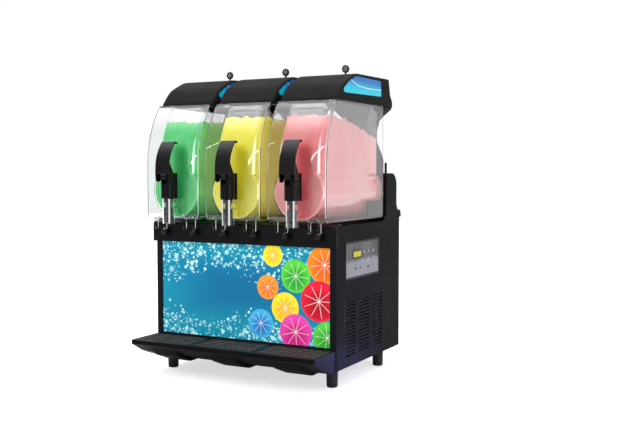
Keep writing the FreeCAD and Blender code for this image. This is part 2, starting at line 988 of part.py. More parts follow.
def rear_tower():
    """The cover over the drives, with a pair of cradle cheeks and guide posts for each bowl."""
    hollow = tower_block(tower_wall)
    below = tower_block(tower_wall)
    below.translate(Z * -2 * tower_wall)
    shell = carved(tower_block(0.0), [hollow, below])
    root = tower_front + cradle_root
    tip = tower_front - cradle_reach
    low = bowl_low + bowl_wall + cradle_floor_gap
    cheek = (
        (tip, low, cradle_round),
        (root, low),
        (root, low + cradle_height),
        (tip, low + cradle_height, cradle_round),
    )
    cheeks = [side_slab(cheek, x + side * cradle_inner, x + side * cradle_outer)
              for x in stations for side in (-1, 1)]
    posts = [centred_box(x + side * post_offset, post_half, tower_front + post_setback,
                         tower_front + post_setback + post_depth, tower_top - tower_wall,
                         tower_top + post_height)
             for x in stations for side in (-1, 1)]
    through = tower_wall + 2 * over
    holes = [rod(sleeve_radius + seat_gap, point(x, tower_front - over, axis_height), Y, through)
             for x in stations]
    holes += [rod(pipe_radius + seat_gap, point(x + riser_x, tower_front - over, axis_height - riser_drop), Y,
                  through) for x in stations]
    return carved(joined([shell] + cheeks + posts), holes)


def masts():
    """Waisted columns that stand on the tower behind the bowls and end under the lids."""
    made = []
    head_half = lid_half_width - mast_lid_inset
    for x in stations:
        right, left = [
            (
                (x + side * mast_foot_half, tower_top - mast_sink),
                (x + side * mast_foot_half, tower_top + mast_foot_rise, mast_foot_round),
                (x + side * mast_waist_half, tower_top + mast_waist_rise, mast_waist_round),
                (x + side * mast_neck_half, mast_high - mast_neck_drop, mast_neck_round),
                (x + side * head_half, mast_high - mast_flare),
                (x + side * head_half, mast_high),
            )
            for side in (1, -1)
        ]
        outline = right + tuple(reversed(left))
        column = front_face(outline, mast_front).extrude(Y * mast_depth)
        core = front_face(outline, mast_front + mast_wall).makeOffset2D(-mast_wall)
        made.append(carved(column, [core.extrude(Y * (mast_depth - 2 * mast_wall)), tower_block(0.0)]))
    return made


# Bowls

def bowl_face(inset, x):
    """The bowl's side outline as a face in the plane x, moved inwards by the inset."""
    top = bowl_high + bowl_lean_drop * (bowl_lean_share - 1)
    end = tower_front + bowl_run_out
    face = side_face((
        (bowl_front, bowl_low, bowl_foot_radius),
        (bowl_front, bowl_high - bowl_lean_drop, bowl_lean_radius),
        (bowl_front + bowl_lean_back * bowl_lean_share, top),
        (end, top),
        (end, bowl_low),
    ), x)
    return face.makeOffset2D(-inset) if inset else face


def bowl_block(station, half, inset, radius, low):
    """A solid with the bowl's leaning front and rounded front corners, open-ended at rear and top."""
    block = bowl_face(inset, station - half).extrude(X * 2 * half)
    block = block.cut(region(z_high=low))
    start = front_y + bowl_front
    edges = [edge for edge in block.Edges
             if in_plane(edge, (station - half, station + half))
             and edge.BoundBox.YMin < start + bowl_front_zone
             and edge.BoundBox.YMax < start + bowl_edge_zone]
    return block.makeFillet(radius, edges)


def tank_block(station, inset, rear):
    """The tank's box and trough, moved inwards by the inset."""
    gap = tank_front_gap + inset
    tank = bowl_block(station, tank_half_width - inset, gap, tank_corner_radius - inset, axis_height)
    front = bowl_front + gap
    trough = rod(trough_radius - inset, point(station, front, axis_height), Y, rear - front)
    nose = flat_edges(trough, "YMin", "YMax", -far, front_y + front + over)
    trough = trough.makeFillet(trough_nose_radius - inset / 2, nose)
    return tank.cut(region(y_low=rear)).fuse(trough)


def bowl_jacket(station):
    """The clear outer shell, open behind, with the forks that straddle the pegs."""
    outer = bowl_block(station, bowl_half_width, 0.0, bowl_corner_radius, 0.0)
    inner = bowl_block(station, bowl_half_width - bowl_wall, bowl_wall, bowl_corner_radius - bowl_wall, 0.0)
    limits = side_slab((
        (-far, bowl_low),
        (bowl_rear, bowl_low, bowl_heel_radius),
        (bowl_rear, bowl_high - rim_thickness),
        (-far, bowl_high - rim_thickness),
    ), -far, far)
    shell = outer.cut(inner).common(limits)
    front = bowl_front + fork_inset
    rear = front + fork_depth
    fork = (
        (front, bowl_low + fork_root_high),
        (front, bowl_low - fork_drop, fork_round),
        (rear, bowl_low - fork_drop, fork_round),
        (rear, bowl_low + fork_root_low),
        (front + fork_root, bowl_low + fork_root_low),
    )
    forks = []
    for peg in (station - peg_offset, station + peg_offset):
        for hand in (-1, 1):
            near = peg + hand * fork_half_gap
            forks.append(side_slab(fork, near, near + hand * fork_thickness))
    duct_hole = rod(duct_radius + duct_wall + duct_hole_gap, point(station, tap_y, duct_height), Y, -tap_y)
    return carved(joined([shell] + forks), [duct_hole])


def bowl_tank(station):
    """The clear tank with its trough, the rim that laps the jacket, the duct and the spout."""
    outer = bowl_block(station, bowl_half_width, 0.0, bowl_corner_radius, 0.0)
    rim = outer.common(region(y_high=bowl_rear, z_low=bowl_high - rim_thickness, z_high=bowl_high))
    tank = tank_block(station, 0.0, tank_rear).cut(region(z_low=bowl_high))
    hollow = tank_block(station, tank_wall, tank_rear - tank_wall)
    duct_start = point(station, tap_y, duct_height)
    duct = rod(duct_radius + duct_wall, duct_start, Y, tank_front + over - tap_y)
    spout = rod(spout_radius, point(station, tap_y, spout_low), Z, spout_height)
    mouth = rod(tank_mouth_radius, point(station, tank_rear - tank_wall - over, axis_height), Y,
                tank_wall + 2 * over)
    bore = rod(duct_radius, duct_start, Y, tank_front + tank_wall + over - tap_y)
    barrel = rod(spout_radius - spout_wall, point(station, tap_y, spout_low - over), Z,
                 spout_height + 2 * over)
    return carved(joined([tank, rim, duct, spout]), [hollow, mouth, bore, barrel])


def slush(index):
    """The frozen drink: it fills the tank up to a slope and leaves a round way for the auger."""
    station = stations[index]
    level = bowl_high - slush_front_drops[index]
    body = tank_block(station, tank_wall + seat_gap, tank_rear - tank_wall - seat_gap)
    above = side_slab((
        (-far, level),
        (slush_level_end, level, slush_bend_radius),
        (tank_rear, bowl_high - slush_rear_drop),
        (far, bowl_high - slush_rear_drop),
        (far, far),
        (-far, far),
    ), -far, far)
    way = rod(auger_outer_radius + slush_auger_gap, point(station, auger_way_front, axis_height), Y,
              tank_rear - auger_way_front)
    return carved(body, [above, way])


# Evaporators and drives

def evaporator_drums():
    """Cold drums on the tower's front, each with a tube on its axis for the drive shaft."""
    made = []
    length = tower_front - drum_front
    for x in stations:
        front = point(x, drum_front, axis_height)
        outer = rod(drum_radius, front, Y, length)
        outer = outer.makeFillet(drum_dome_radius, flat_edges(outer, "YMin", "YMax", -far, front.y + over))
        core = rod(drum_radius - drum_wall, front + Y * drum_wall, Y, length - 2 * drum_wall)
        flange = rod(drum_flange_radius, point(x, tower_front - drum_flange, axis_height), Y, drum_flange)
        sleeve = rod(sleeve_radius, front + Y * (drum_wall / 2), Y,
                     length - drum_wall / 2 + tower_wall + sleeve_tail)
        shell = joined([carved(joined([outer, flange]), [core]), sleeve])
        bore = rod(shaft_radius + running_gap, front - Y * over, Y, motor_front - drum_front + over)
        made.append(carved(shell, [bore]))
    return made


def bowl_gaskets():
    start = tank_rear + seat_gap
    return [tube(gasket_radius, drum_flange_radius + gasket_flange_gap, point(x, start, axis_height), Y,
                 tower_front - start) for x in stations]


def auger_ring(station, front):
    return tube(auger_outer_radius, auger_inner_radius, point(station, front, axis_height), Y,
                auger_ring_length)


def flight(station):
    """The auger's spiral ribbon."""
    radius = (auger_inner_radius + auger_outer_radius) / 2
    spine = Part.makeHelix(auger_pitch, auger_length, radius)
    half = (auger_outer_radius - auger_inner_radius) / 2 - auger_ring_overlap
    corners = [FreeCAD.Vector(radius + a * half, 0, b * auger_flight / 2)
               for a, b in ((-1, -1), (1, -1), (1, 1), (-1, 1))]
    section = Part.makePolygon(corners + corners[:1])
    ribbon = Part.Wire(spine).makePipeShell([section], True, True)
    ribbon.rotate(FreeCAD.Vector(), X, -90.0)
    ribbon.translate(point(station, auger_middle, axis_height))
    return ribbon


def auger(station):
    """Hub, arms and front ring that carry the spiral, which a rear ring closes."""
    hub = rod(auger_hub_radius, point(station, auger_front, axis_height), Y, auger_hub_length)
    ring_front = auger_middle - auger_ring_length / 2
    rings = [auger_ring(station, front) for front in (ring_front, ring_front + auger_length)]
    arms = []
    for index in range(auger_arms):
        arm = centred_box(0.0, auger_arm_width / 2, 0.0, auger_ring_length, auger_arm_root,
                          auger_inner_radius + 2 * auger_ring_overlap)
        arm.rotate(point(0, 0, 0), Y, index * 360.0 / auger_arms)
        arm.translate(FreeCAD.Vector(station, ring_front, axis_height))
        arms.append(arm)
    half = drive_square / 2 + running_gap
    socket = centred_box(station, half, auger_front + auger_hub_end, auger_front + auger_hub_length + over,
                         axis_height - half, axis_height + half)
    return carved(joined([hub, flight(station)] + rings + arms), [socket])


def drive_shaft(station):
    """A round shaft through the drum, squared where it enters the auger's hub."""
    half = drive_square / 2
    square = centred_box(station, half, auger_front + auger_hub_end + seat_gap, drum_front,
                         axis_height - half, axis_height + half)
    start = auger_front + auger_hub_length + seat_gap
    shaft = rod(shaft_radius, point(station, start, axis_height), Y,
                motor_front + shaft_seat - seat_gap - start)
    return joined([square, shaft])


def gearmotors():
    """Gearbox and motor can behind each drum, inside the tower."""
    made = []
    half = gearbox_size / 2
    for x in stations:
        gearbox = rounded_box(x, half, motor_front, motor_front + gearbox_length,
                              axis_height - half, axis_height + half, gearbox_round)
        can = rod(motor_radius, point(x, motor_front + gearbox_length, axis_height), Y, motor_length)
        seat = rod(shaft_radius + running_gap, point(x, motor_front - over, axis_height), Y,
                   shaft_seat + over)
        made.append(carved(joined([gearbox, can]), [seat]))
    return made


# Taps

def tap_housing(station):
    """Black sleeve over the spout, with a plate against the bowl and the lever's pin."""
    sleeve = rod(housing_radius, point(station, tap_y, housing_low), Z, housing_high - housing_low)
    lower_edges = flat_edges(sleeve, "ZMin", "ZMax", -far, housing_low + over)
    sleeve = sleeve.makeChamfer(housing_chamfer, lower_edges)
    plate_rear = bowl_front - seat_gap
    plate_front = plate_rear - plate_thickness
    plate = rounded_box(station, plate_half_width, plate_front, plate_rear, housing_low, housing_high,
                        plate_round)
    web = centred_box(station, plate_half_width - web_side_inset, tap_y, plate_front + plate_thickness / 2,
                      housing_low + web_end_inset, housing_high - web_end_inset)
    spout_seat = rod(spout_radius + running_gap, point(station, tap_y, housing_low - over), Z,
                     spout_high + running_gap - housing_low + over)
    well = rod(collar_radius + collar_side_gap, point(station, tap_y, housing_low), Z,
               housing_high - housing_low + over)
    lever_way = centred_box(station, hub_half + collar_side_gap, -far, tap_y + lever_arm,
                            pivot_z - lever_arm, housing_high + over)
    body = carved(joined([sleeve, plate, web]), [spout_seat, well, lever_way, region(y_low=plate_rear)])
    pin = rod(pivot_radius, point(station - handle_width / 2 + pin_inset, pivot_y, pivot_z), X,
              handle_width - 2 * pin_inset)
    return joined([body, pin])


def paddle_outline():
    """The handle's curved plate, seen from the side."""
    low = pivot_z + handle_low_rise
    bend = pivot_z + handle_bend_rise
    crown = pivot_z + handle_crown_rise
    lip = pivot_z + handle_lip_rise
    crown_y = handle_front + handle_crown_reach
    lip_y = handle_front + handle_lip_reach
    return (
        (handle_front, low, plate_round),
        (handle_front + handle_bend_out, bend, handle_bend_radius),
        (crown_y, crown, handle_crown_round),
        (lip_y, lip, handle_lip_round),
        (lip_y - handle_bend_out, lip - handle_wall, handle_lip_round),
        (crown_y, crown - handle_wall - over, handle_crown_round - handle_wall + over),
        (handle_front + handle_wall + handle_bend_out, bend - over, handle_bend_radius - handle_wall),
        (handle_front + handle_wall, low),
    )


def tap_handle(station):
    """A curved paddle with two side cheeks on the pin, and a forked arm that lifts the plunger."""
    half = handle_width / 2
    shapes = [side_slab(paddle_outline(), station - half, station + half)]
    cheek = (
        (pivot_y + cheek_rear_reach, pivot_z - cheek_drop, cheek_round),
        (pivot_y - cheek_front_reach, pivot_z - cheek_drop, cheek_round),
        (handle_front + panel_gap, pivot_z + cheek_shoulder, hub_web_root),
        (handle_front + handle_bend_out, pivot_z + cheek_rise),
        (handle_front + cheek_top_depth, pivot_z + cheek_rise, handle_crown_round),
        (pivot_y + cheek_shoulder, pivot_z + cheek_rear_reach, cheek_rear_reach),
    )
    shapes.append(rod(hub_radius, point(station - hub_half, pivot_y, pivot_z), X, 2 * hub_half))
    shapes.append(side_slab((
        (pivot_y - hub_web_root, pivot_z),
        (handle_front + over, pivot_z + cheek_shoulder),
        (handle_front + over, pivot_z + hub_web_high),
        (pivot_y + hub_web_root, pivot_z + hub_radius),
    ), station - hub_half, station + hub_half))
    tine = (
        (pivot_y, pivot_z - lever_root),
        (tip_y - tip_neck_reach, tip_z - tip_neck_rise),
        (tip_y + tip_neck_reach, tip_z + tip_neck_rise),
        (pivot_y + lever_root, pivot_z + lever_root),
    )
    for side in (-1, 1):
        shapes.append(side_slab(cheek, station + side * (half - handle_cheek), station + side * half))
        near = station + side * (piston_rod_radius + panel_gap)
        far_end = station + side * hub_half
        shapes.append(side_slab(tine, near, far_end))
        shapes.append(rod(tip_radius, point(min(near, far_end), tip_y, tip_z), X, abs(far_end - near)))
    bore = rod(pivot_radius + running_gap, point(-far, pivot_y, pivot_z), X, 2 * far)
    return carved(joined(shapes), [bore])


def tap_piston(station):
    """The plunger in the spout with its two sealing rings, and a rod with the collars the fork lifts."""
    lower_collar = tip_z - tip_radius - collar_play - collar_thickness
    upper_collar = tip_z + tip_radius + collar_play
    shapes = [
        rod(piston_radius, point(station, tap_y, piston_low), Z, piston_high - piston_low),
        rod(piston_rod_radius, point(station, tap_y, piston_high), Z,
            upper_collar + collar_thickness - piston_high),
    ]
    flats = region(y_high=tap_y - collar_flat).cut(rod(piston_rod_radius, point(station, tap_y, 0.0), Z, far))
    shapes += [rod(collar_radius, point(station, tap_y, z), Z, collar_thickness).cut(flats)
               for z in (lower_collar, upper_collar)]
    ring_low = piston_low + ring_low_rise
    ring_high = piston_high - ring_high_drop
    waist = tube(spout_radius, piston_rod_radius + piston_waist_wall,
                 point(station, tap_y, ring_low + piston_land), Z, ring_high - ring_low - 2 * piston_land)
    groove_floor = spout_radius - spout_wall - 2 * ring_section
    tools = [waist]
    rings = []
    for z in (ring_low, ring_high):
        base = point(station, tap_y, z - ring_section)
        tools.append(tube(spout_radius, groove_floor, base, Z, 2 * ring_section))
        rings.append(tube(piston_radius + piston_gap / 2, groove_floor, base, Z, 2 * ring_section))
    return [carved(joined(shapes), tools)] + rings


# Lids

def lid_block(station, inset):
    """A lid's block with an open lower edge; an inset moves its side outline and its ends inwards."""
    front = lid_front + inset
    half = lid_half_width - inset
    rear = lid_rear - inset
    top = lid_high - inset
    outline = (
        (front, lid_low),
        (front + lid_nose_reach, lid_low + lid_nose_rise - inset, lid_nose_round),
        (front + lid_brow_reach, lid_low + lid_brow_rise - inset, lid_brow_round),
        (lid_front + lid_crown_reach, top - lid_crown_drop, lid_crown_round),
        (rear - lid_back_inset, top, lid_back_round),
        (rear - lid_step_inset, lid_low + lid_step_rise, lid_step_round),
        (rear, lid_low + lid_tail_rise, lid_tail_round),
        (rear, lid_low),
    )
    return side_slab(outline, station - half, station + half)


def window_face(x, inset):
    """The outline of a side window in the plane x."""
    corners = []
    for reach, rise, rounding in (window_nose, window_front_sill, window_rear_sill, window_rear_head,
                                  window_front_head, window_brow):
        start = lid_front if reach > 0 else lid_rear
        corners.append((start + reach, lid_low + rise, rounding))
    face = side_face(corners, x)
    return face.makeOffset2D(-inset) if inset else face


def lid(station):
    """A domed cover with recesses for its windows, a ledge, a skirt that enters the tank, and a lock."""
    ends = (station - lid_half_width, station + lid_half_width)
    block = lid_block(station, 0.0)
    edges = [edge for edge in block.Edges
             if in_plane(edge, ends) and edge.BoundBox.ZMax > lid_low + lid_edge_start
             and edge.BoundBox.YMax < front_y + lid_rear - lid_step_inset - panel_gap]
    block = block.makeFillet(lid_edge_round, edges)
    below = lid_block(station, lid_wall)
    below.translate(Z * -2 * lid_wall)
    floor = lid_half_width - window_recess
    recesses = [window_face(station + side * floor, 0.0).extrude(X * side * lid_wall) for side in (-1, 1)]
    shell = carved(block, [lid_block(station, lid_wall), below] + recesses)
    boss = rod(lock_radius, point(station, lock_y, lock_high - lock_length), Z, lock_length)
    skirt_half = tank_half_width - tank_wall - lid_skirt_gap
    skirt_front = bowl_front + bowl_lean_back + tank_front_gap + lid_skirt_inset
    skirt_rear = tank_rear - tank_wall - lid_skirt_gap
    skirt_low = lid_low - lid_skirt_depth
    skirt = rounded_box(station, skirt_half, skirt_front, skirt_rear, skirt_low, lid_low + lid_wall,
                        lid_skirt_round)
    inside = rounded_box(station, skirt_half - lid_skirt_wall, skirt_front + lid_skirt_wall,
                         skirt_rear - lid_skirt_wall, skirt_low - over, lid_low + lid_wall + over,
                         lid_skirt_round - lid_skirt_wall)
    ledge = rounded_box(station, lid_half_width - lid_ledge_inset, lid_front + lid_ledge_setback,
                        bowl_rear - lid_skirt_wall, lid_low, lid_low + lid_wall, lid_ledge_round)
    barrel = rod(key_stem_radius + running_gap, point(station, lock_y, lid_low), Z, far)
    return carved(joined([shell, boss, skirt.cut(inside), ledge.cut(inside)]), [barrel])


def lid_windows(station):
    """The lit panes let into both sides of a lid."""
    panes = []
    for side in (-1, 1):
        face = window_face(station + side * (lid_half_width - window_recess), seat_gap)
        panes.append(face.extrude(X * side * window_thickness))
    return panes


def lid_key(station):
    """The lock's key, with a round bow that stands up out of the lid."""
    bow = rod(key_bow_radius, point(station, lock_y - key_bow_thickness / 2, key_height), Y,
              key_bow_thickness)
    bow = bow.makeFillet(key_bow_round, [edge for edge in bow.Edges if edge.BoundBox.YLength < touch])
    low = lock_high - key_blade_depth
    stem = rod(key_stem_radius, point(station, lock_y, low), Z,
               key_height - key_bow_radius + key_bow_root - low)
    collar = rod(key_stem_radius + key_collar_wall, point(station, lock_y, lock_high + seat_gap), Z,
                 key_collar_thickness)
    return joined([bow, stem, collar])


# Drip trays

def tray_ends(index):
    """The x range of one tray section."""
    low = stations[index] - station_pitch / 2 + tray_gap / 2
    high = stations[index] + station_pitch / 2 - tray_gap / 2
    return max(low, tray_end_gap - half_body), min(high, half_body - tray_end_gap)


def drip_tray(index):
    """One tray section: a trough under a tap's grille, with a moulded belly and two tongues behind."""
    low, high = tray_ends(index)
    middle = (low + high) / 2
    rear = -seat_gap
    outline = (
        (rear, tray_low),
        (rear, tray_high),
        (-tray_reach, tray_high, tray_lip_round),
        (-tray_reach, tray_high - tray_lip, tray_lip_round),
        (-tray_knee_reach, tray_low + tray_knee_rise, tray_knee_round),
        (-tray_heel_reach, tray_low, tray_heel_round),
    )
    body = side_slab(outline, low, high)
    sides = (middle - belly_half, middle + belly_half)
    belly = side_slab((
        (rear, tray_low - belly_drop),
        (-belly_heel_reach, tray_low - belly_drop, belly_heel_round),
        (-belly_knee_reach, tray_low + belly_knee_rise, belly_knee_round),
        (-belly_top_reach, tray_high - belly_top_drop),
        (rear, tray_high - belly_top_drop),
    ), *sides)
    edges = [edge for edge in belly.Edges
             if in_plane(edge, sides)
             and edge.BoundBox.ZMin < tray_high - belly_top_drop - touch
             and edge.BoundBox.YMin < front_y + rear - touch]
    belly = belly.makeFillet(belly_side_round, edges)
    well = side_face(outline, low + tray_wall).makeOffset2D(-tray_wall)
    well = well.extrude(X * (high - low - 2 * tray_wall))
    half = (high - low) / 2 - tray_rim
    mouth_front = tray_rim - tray_reach
    mouth_rear = -tray_rear_rim - seat_gap
    seat = centred_box(middle, half + tray_wall, mouth_front - tray_wall, mouth_rear + tray_wall,
                       tray_high - tray_seat_depth, tray_high - grille_drop).common(body)
    mouth = centred_box(middle, half, mouth_front, mouth_rear, tray_high - grille_thickness - panel_gap,
                        tray_high + over)
    drop = centred_box(middle, half - tray_shelf, mouth_front + tray_shelf, mouth_rear - tray_shelf,
                       tray_high - 2 * tray_seat_depth, tray_high + over)
    trough = carved(joined([carved(joined([body, belly]), [well]), seat]), [mouth, drop])
    tongues = [centred_box(stations[index] + side * tongue_offset, tongue_width / 2, rear - tray_wall / 2,
                           tongue_length, tongue_low, tongue_high) for side in (-1, 1)]
    return joined([trough] + tongues)


def drip_grille(index):
    """The slotted plate that lies in a tray's mouth."""
    low, high = tray_ends(index)
    middle = (low + high) / 2
    half = (high - low) / 2 - tray_rim - grille_gap
    front = tray_rim + grille_gap - tray_reach
    rear = -tray_rear_rim - seat_gap - grille_gap
    top = tray_high - grille_drop
    plate = rounded_box(middle, half, front, rear, top - grille_thickness, top, grille_round)
    columns = int((half - grille_end_margin) * 2 / grille_slot_pitch)
    slots = []
    for row in range(grille_rows):
        y = (front + rear) / 2 + (row - (grille_rows - 1) / 2) * grille_row_pitch
        for column in range(columns):
            offset = (column - (columns - 1) / 2) * grille_slot_pitch
            if abs(offset) > grille_bar_half:
                slots.append(centred_box(middle + offset, grille_slot_width / 2, y - grille_slot_length / 2,
                                         y + grille_slot_length / 2, 0.0, tray_high + over))
    return carved(plate, slots)


# Cooling machinery

def compressor():
    """A hermetic compressor: a domed can with a seam, a terminal box and feet that stand on the pan."""
    base = point(compressor_x, compressor_y, compressor_low)
    can = rod(compressor_radius, base, Z, compressor_high - compressor_low)
    can = can.makeFillet(compressor_round, [edge for edge in can.Edges if edge.BoundBox.ZLength < touch])
    seam = rod(compressor_radius + compressor_seam_proud, base + Z * compressor_seam, Z,
               compressor_seam_height)
    terminal = box(compressor_x - terminal_half, compressor_x + terminal_half,
                   compressor_y - compressor_radius - terminal_reach,
                   compressor_y - compressor_radius + terminal_root,
                   compressor_low + terminal_low, compressor_low + terminal_high)
    pieces = [can, seam, terminal]
    top = compressor_low + compressor_arm_high
    for index in range(compressor_feet):
        turn = 90.0 + index * 360.0 / compressor_feet
        arm = box(0.0, compressor_foot_reach, -compressor_arm_half, compressor_arm_half,
                  compressor_low + compressor_arm_low, top)
        foot = rod(compressor_foot_radius, point(compressor_foot_reach, 0.0, floor_z), Z, top - floor_z)
        for piece in (arm, foot):
            piece.rotate(point(0, 0, 0), Z, turn)
            piece.translate(FreeCAD.Vector(compressor_x, compressor_y, 0.0))
            pieces.append(piece)
    return joined(pieces)


def condenser():
    """A finned coil just inside the right louvres: end plates, fins and straight pipes."""
    half = condenser_thickness / 2
    fin_top = condenser_high - condenser_fin_margin
    pieces = [centred_box(condenser_x, half, y, y + condenser_plate, floor_z, condenser_high)
              for y in (condenser_front, condenser_rear - condenser_plate)]
    fins = int((condenser_rear - condenser_front - condenser_fin_margin) / condenser_fin_pitch)
    for index in range(fins):
        y = condenser_front + condenser_fin_margin + index * condenser_fin_pitch
        pieces.append(centred_box(condenser_x, half - condenser_fin_inset, y, y + condenser_fin,
                                  condenser_low, fin_top))
    for row in range(condenser_pipe_rows):
        z = condenser_low + (row + 0.5) * (fin_top - condenser_low) / condenser_pipe_rows
        pieces.append(rod(pipe_radius, point(condenser_x, condenser_front - condenser_pipe_ends, z), Y,
                          condenser_rear - condenser_front + 2 * condenser_pipe_ends))
    return joined(pieces)


def fan_shroud():
    """A square duct against the condenser, with the fan's motor on arms in front of it."""
    y_low = fan_y - fan_box_half
    y_high = fan_y + fan_box_half
    z_high = fan_z + fan_box_half
    wall = fan_shroud_wall
    duct = carved(box(shroud_front, condenser_inner, y_low, y_high, floor_z, z_high), [
        box(shroud_front + wall, far, y_low + wall, y_high - wall, floor_z + wall, z_high - wall),
        rod(fan_radius + fan_tip_gap, point(-far, fan_y, fan_z), X, 2 * far),
    ])
    motor = rod(fan_motor_radius, point(fan_motor_start, fan_y, fan_z), X, fan_motor_length)
    arm_x = fan_motor_start + fan_arm_place
    pieces = [duct, motor]
    for index in range(fan_arms):
        arm = box(arm_x, arm_x + fan_arm_thickness, -fan_arm_half, fan_arm_half,
                  fan_motor_radius - fan_arm_thickness, fan_post_offset)
        post = rod(fan_post_radius, point(arm_x, 0.0, fan_post_offset), X, shroud_front + wall / 2 - arm_x)
        for piece in (arm, post):
            piece.rotate(point(0, 0, 0), X, (index + 0.5) * 360.0 / fan_arms)
            piece.translate(FreeCAD.Vector(0.0, fan_y, fan_z))
            pieces.append(piece)
    bearing = rod(fan_shaft_radius + running_gap, point(fan_motor_start + fan_motor_cap, fan_y, fan_z),
                  X, far)
    return carved(joined(pieces), [bearing])


def condenser_fan():
    """Hub, shaft and twisted blades."""
    hub_start = shroud_front - fan_hub_gap
    hub = rod(fan_hub_radius, point(hub_start, fan_y, fan_z), X, fan_hub_length)
    shaft_start = fan_motor_start + fan_motor_cap + seat_gap
    shaft = rod(fan_shaft_radius, point(shaft_start, fan_y, fan_z), X, hub_start + over - shaft_start)
    disc = rod(fan_radius, point(hub_start, fan_y, fan_z), X, fan_hub_length)
    half = fan_blade_thickness / 2
    blades = []
    for index in range(fan_blades):
        blade = centred_box(0.0, half, -fan_blade_half, fan_blade_half,
                            fan_hub_radius - fan_blade_root, fan_radius)
        blade.rotate(point(0, 0, 0), Z, fan_blade_twist)
        blade.rotate(point(0, 0, 0), X, index * 360.0 / fan_blades)
        blade.translate(FreeCAD.Vector(hub_start + fan_hub_length / 2, fan_y, fan_z))
        blades.append(blade.common(disc))
    return joined([hub, shaft] + blades)


def pipe_run(points):
    """A pipe of straight runs with rounded bends."""
    edges = []
    start = points[0]
    for index in range(1, len(points) - 1):
        corner = points[index]
        before = (points[index - 1] - corner).normalize()
        after = (points[index + 1] - corner).normalize()
        half = before.getAngle(after) / 2
        reach = pipe_bend / math.tan(half)
        middle = corner + (before + after).normalize() * (pipe_bend / math.sin(half) - pipe_bend)
        edges.append(Part.LineSegment(start, corner + before * reach).toShape())
        edges.append(Part.Arc(corner + before * reach, middle, corner + after * reach).toShape())
        start = corner + after * reach
    edges.append(Part.LineSegment(start, points[-1]).toShape())
    ring = Part.Wire(Part.makeCircle(pipe_radius, points[0], points[1] - points[0]))
    return Part.Wire(edges).makePipeShell([ring], True, False)


def refrigerant_pipes():
    """Copper pipe from the compressor to the coil, and one riser to each drum's flange."""
    start_x = compressor_x + discharge_offset
    made = [pipe_run([
        point(start_x, compressor_y, compressor_high),
        point(start_x, compressor_y, pipe_shelf),
        point(condenser_x, compressor_y, pipe_shelf),
        point(condenser_x, compressor_y, condenser_high),
    ])]
    back = compressor_y + riser_back
    for index, station in enumerate(stations):
        level = pipe_shelf + riser_level_rise + riser_level_step * index
        near = compressor_x + riser_first_offset + riser_spacing * index
        x = station + riser_x
        made.append(pipe_run([
            point(near, back, compressor_high),
            point(near, back, level),
            point(near, riser_y, level),
            point(x, riser_y, level),
            point(x, riser_y, axis_height - riser_drop),
            point(x, tower_front, axis_height - riser_drop),
        ]))
    return made


# Controls and power

def overlay_slab(inset, radius, x_low, x_high):
    front = overlay_front + inset
    rear = overlay_rear - inset
    low = overlay_low + inset
    high = overlay_high - inset
    corners = (
        (front, low, radius),
        (rear, low, radius),
        (rear, high, radius),
        (front, high, radius),
    )
    return side_slab(corners, x_low, x_high)


def control_overlay():
    """The membrane panel on the right side: a thin plate with a raised frame."""
    plate = overlay_slab(0.0, overlay_round, half_body, half_body + overlay_thickness)
    field = overlay_slab(overlay_frame, overlay_field_round, half_body + overlay_thickness / 2,
                         half_body + 2 * overlay_thickness)
    return carved(plate, [field])


def control_board():
    """The circuit board behind the membrane panel: a plate on four posts, a transformer and relays."""
    circuit_rear = circuit_front + circuit_length
    pieces = [box(circuit_x, circuit_x + circuit_thickness, circuit_front, circuit_rear,
                  circuit_low, circuit_low + circuit_height)]
    for y in (circuit_front + circuit_edge, circuit_rear - circuit_edge):
        for z in (circuit_low + circuit_edge, circuit_low + circuit_height - circuit_edge):
            pieces.append(rod(circuit_post_radius, point(circuit_x, y, z), X, half_inside - circuit_x))
    low = circuit_low + circuit_row
    y = circuit_front + transformer_place
    pieces.append(box(circuit_x - transformer_height, circuit_x, y, y + transformer_length,
                      low, low + transformer_length))
    for index in range(relays):
        y = circuit_front + relay_place + index * relay_pitch
        pieces.append(box(circuit_x - relay_height, circuit_x, y, y + relay_length, low, low + relay_height))
    return joined(pieces)


def power_switch():
    """A rocker that tilts on a pin in its frame; one end of its shallow V stands out at a time."""
    face = body_depth + switch_proud
    inner = switch_pivot_y - switch_tail
    rocker = side_slab((
        (inner, switch_z - switch_tail, switch_tail_round),
        (inner, switch_z + switch_tail, switch_tail_round),
        (switch_pivot_y, switch_z + rocker_half),
        (face + switch_tilt, switch_z + rocker_half, switch_end_round),
        (face, switch_z),
        (face, switch_z - rocker_half, switch_end_round),
        (switch_pivot_y, switch_z - rocker_half),
    ), switch_x - rocker_half_width, switch_x + rocker_half_width)
    bore = rod(switch_pin_radius + running_gap, point(switch_x - switch_width, switch_pivot_y, switch_z), X,
               2 * switch_width)
    return carved(rocker, [bore])


def switch_frame():
    """The rocker's frame: a box behind the panel with a flange outside it and the rocker's pin."""
    half_width = switch_width / 2
    half_height = switch_height / 2
    shell = centred_box(switch_x, half_width, body_depth - switch_depth, body_depth,
                        switch_z - half_height, switch_z + half_height)
    flange = centred_box(switch_x, half_width + switch_flange, body_depth, body_depth + switch_flange,
                         switch_z - half_height - switch_flange, switch_z + half_height + switch_flange)
    hollow = centred_box(switch_x, rocker_half_width + switch_gap, body_depth - switch_depth + switch_wall,
                         far, switch_z - half_height + switch_wall, switch_z + half_height - switch_wall)
    pin = rod(switch_pin_radius, point(switch_x - half_width + switch_wall / 2, switch_pivot_y, switch_z),
              X, switch_width - switch_wall)
    return joined([carved(joined([shell, flange]), [hollow]), pin])


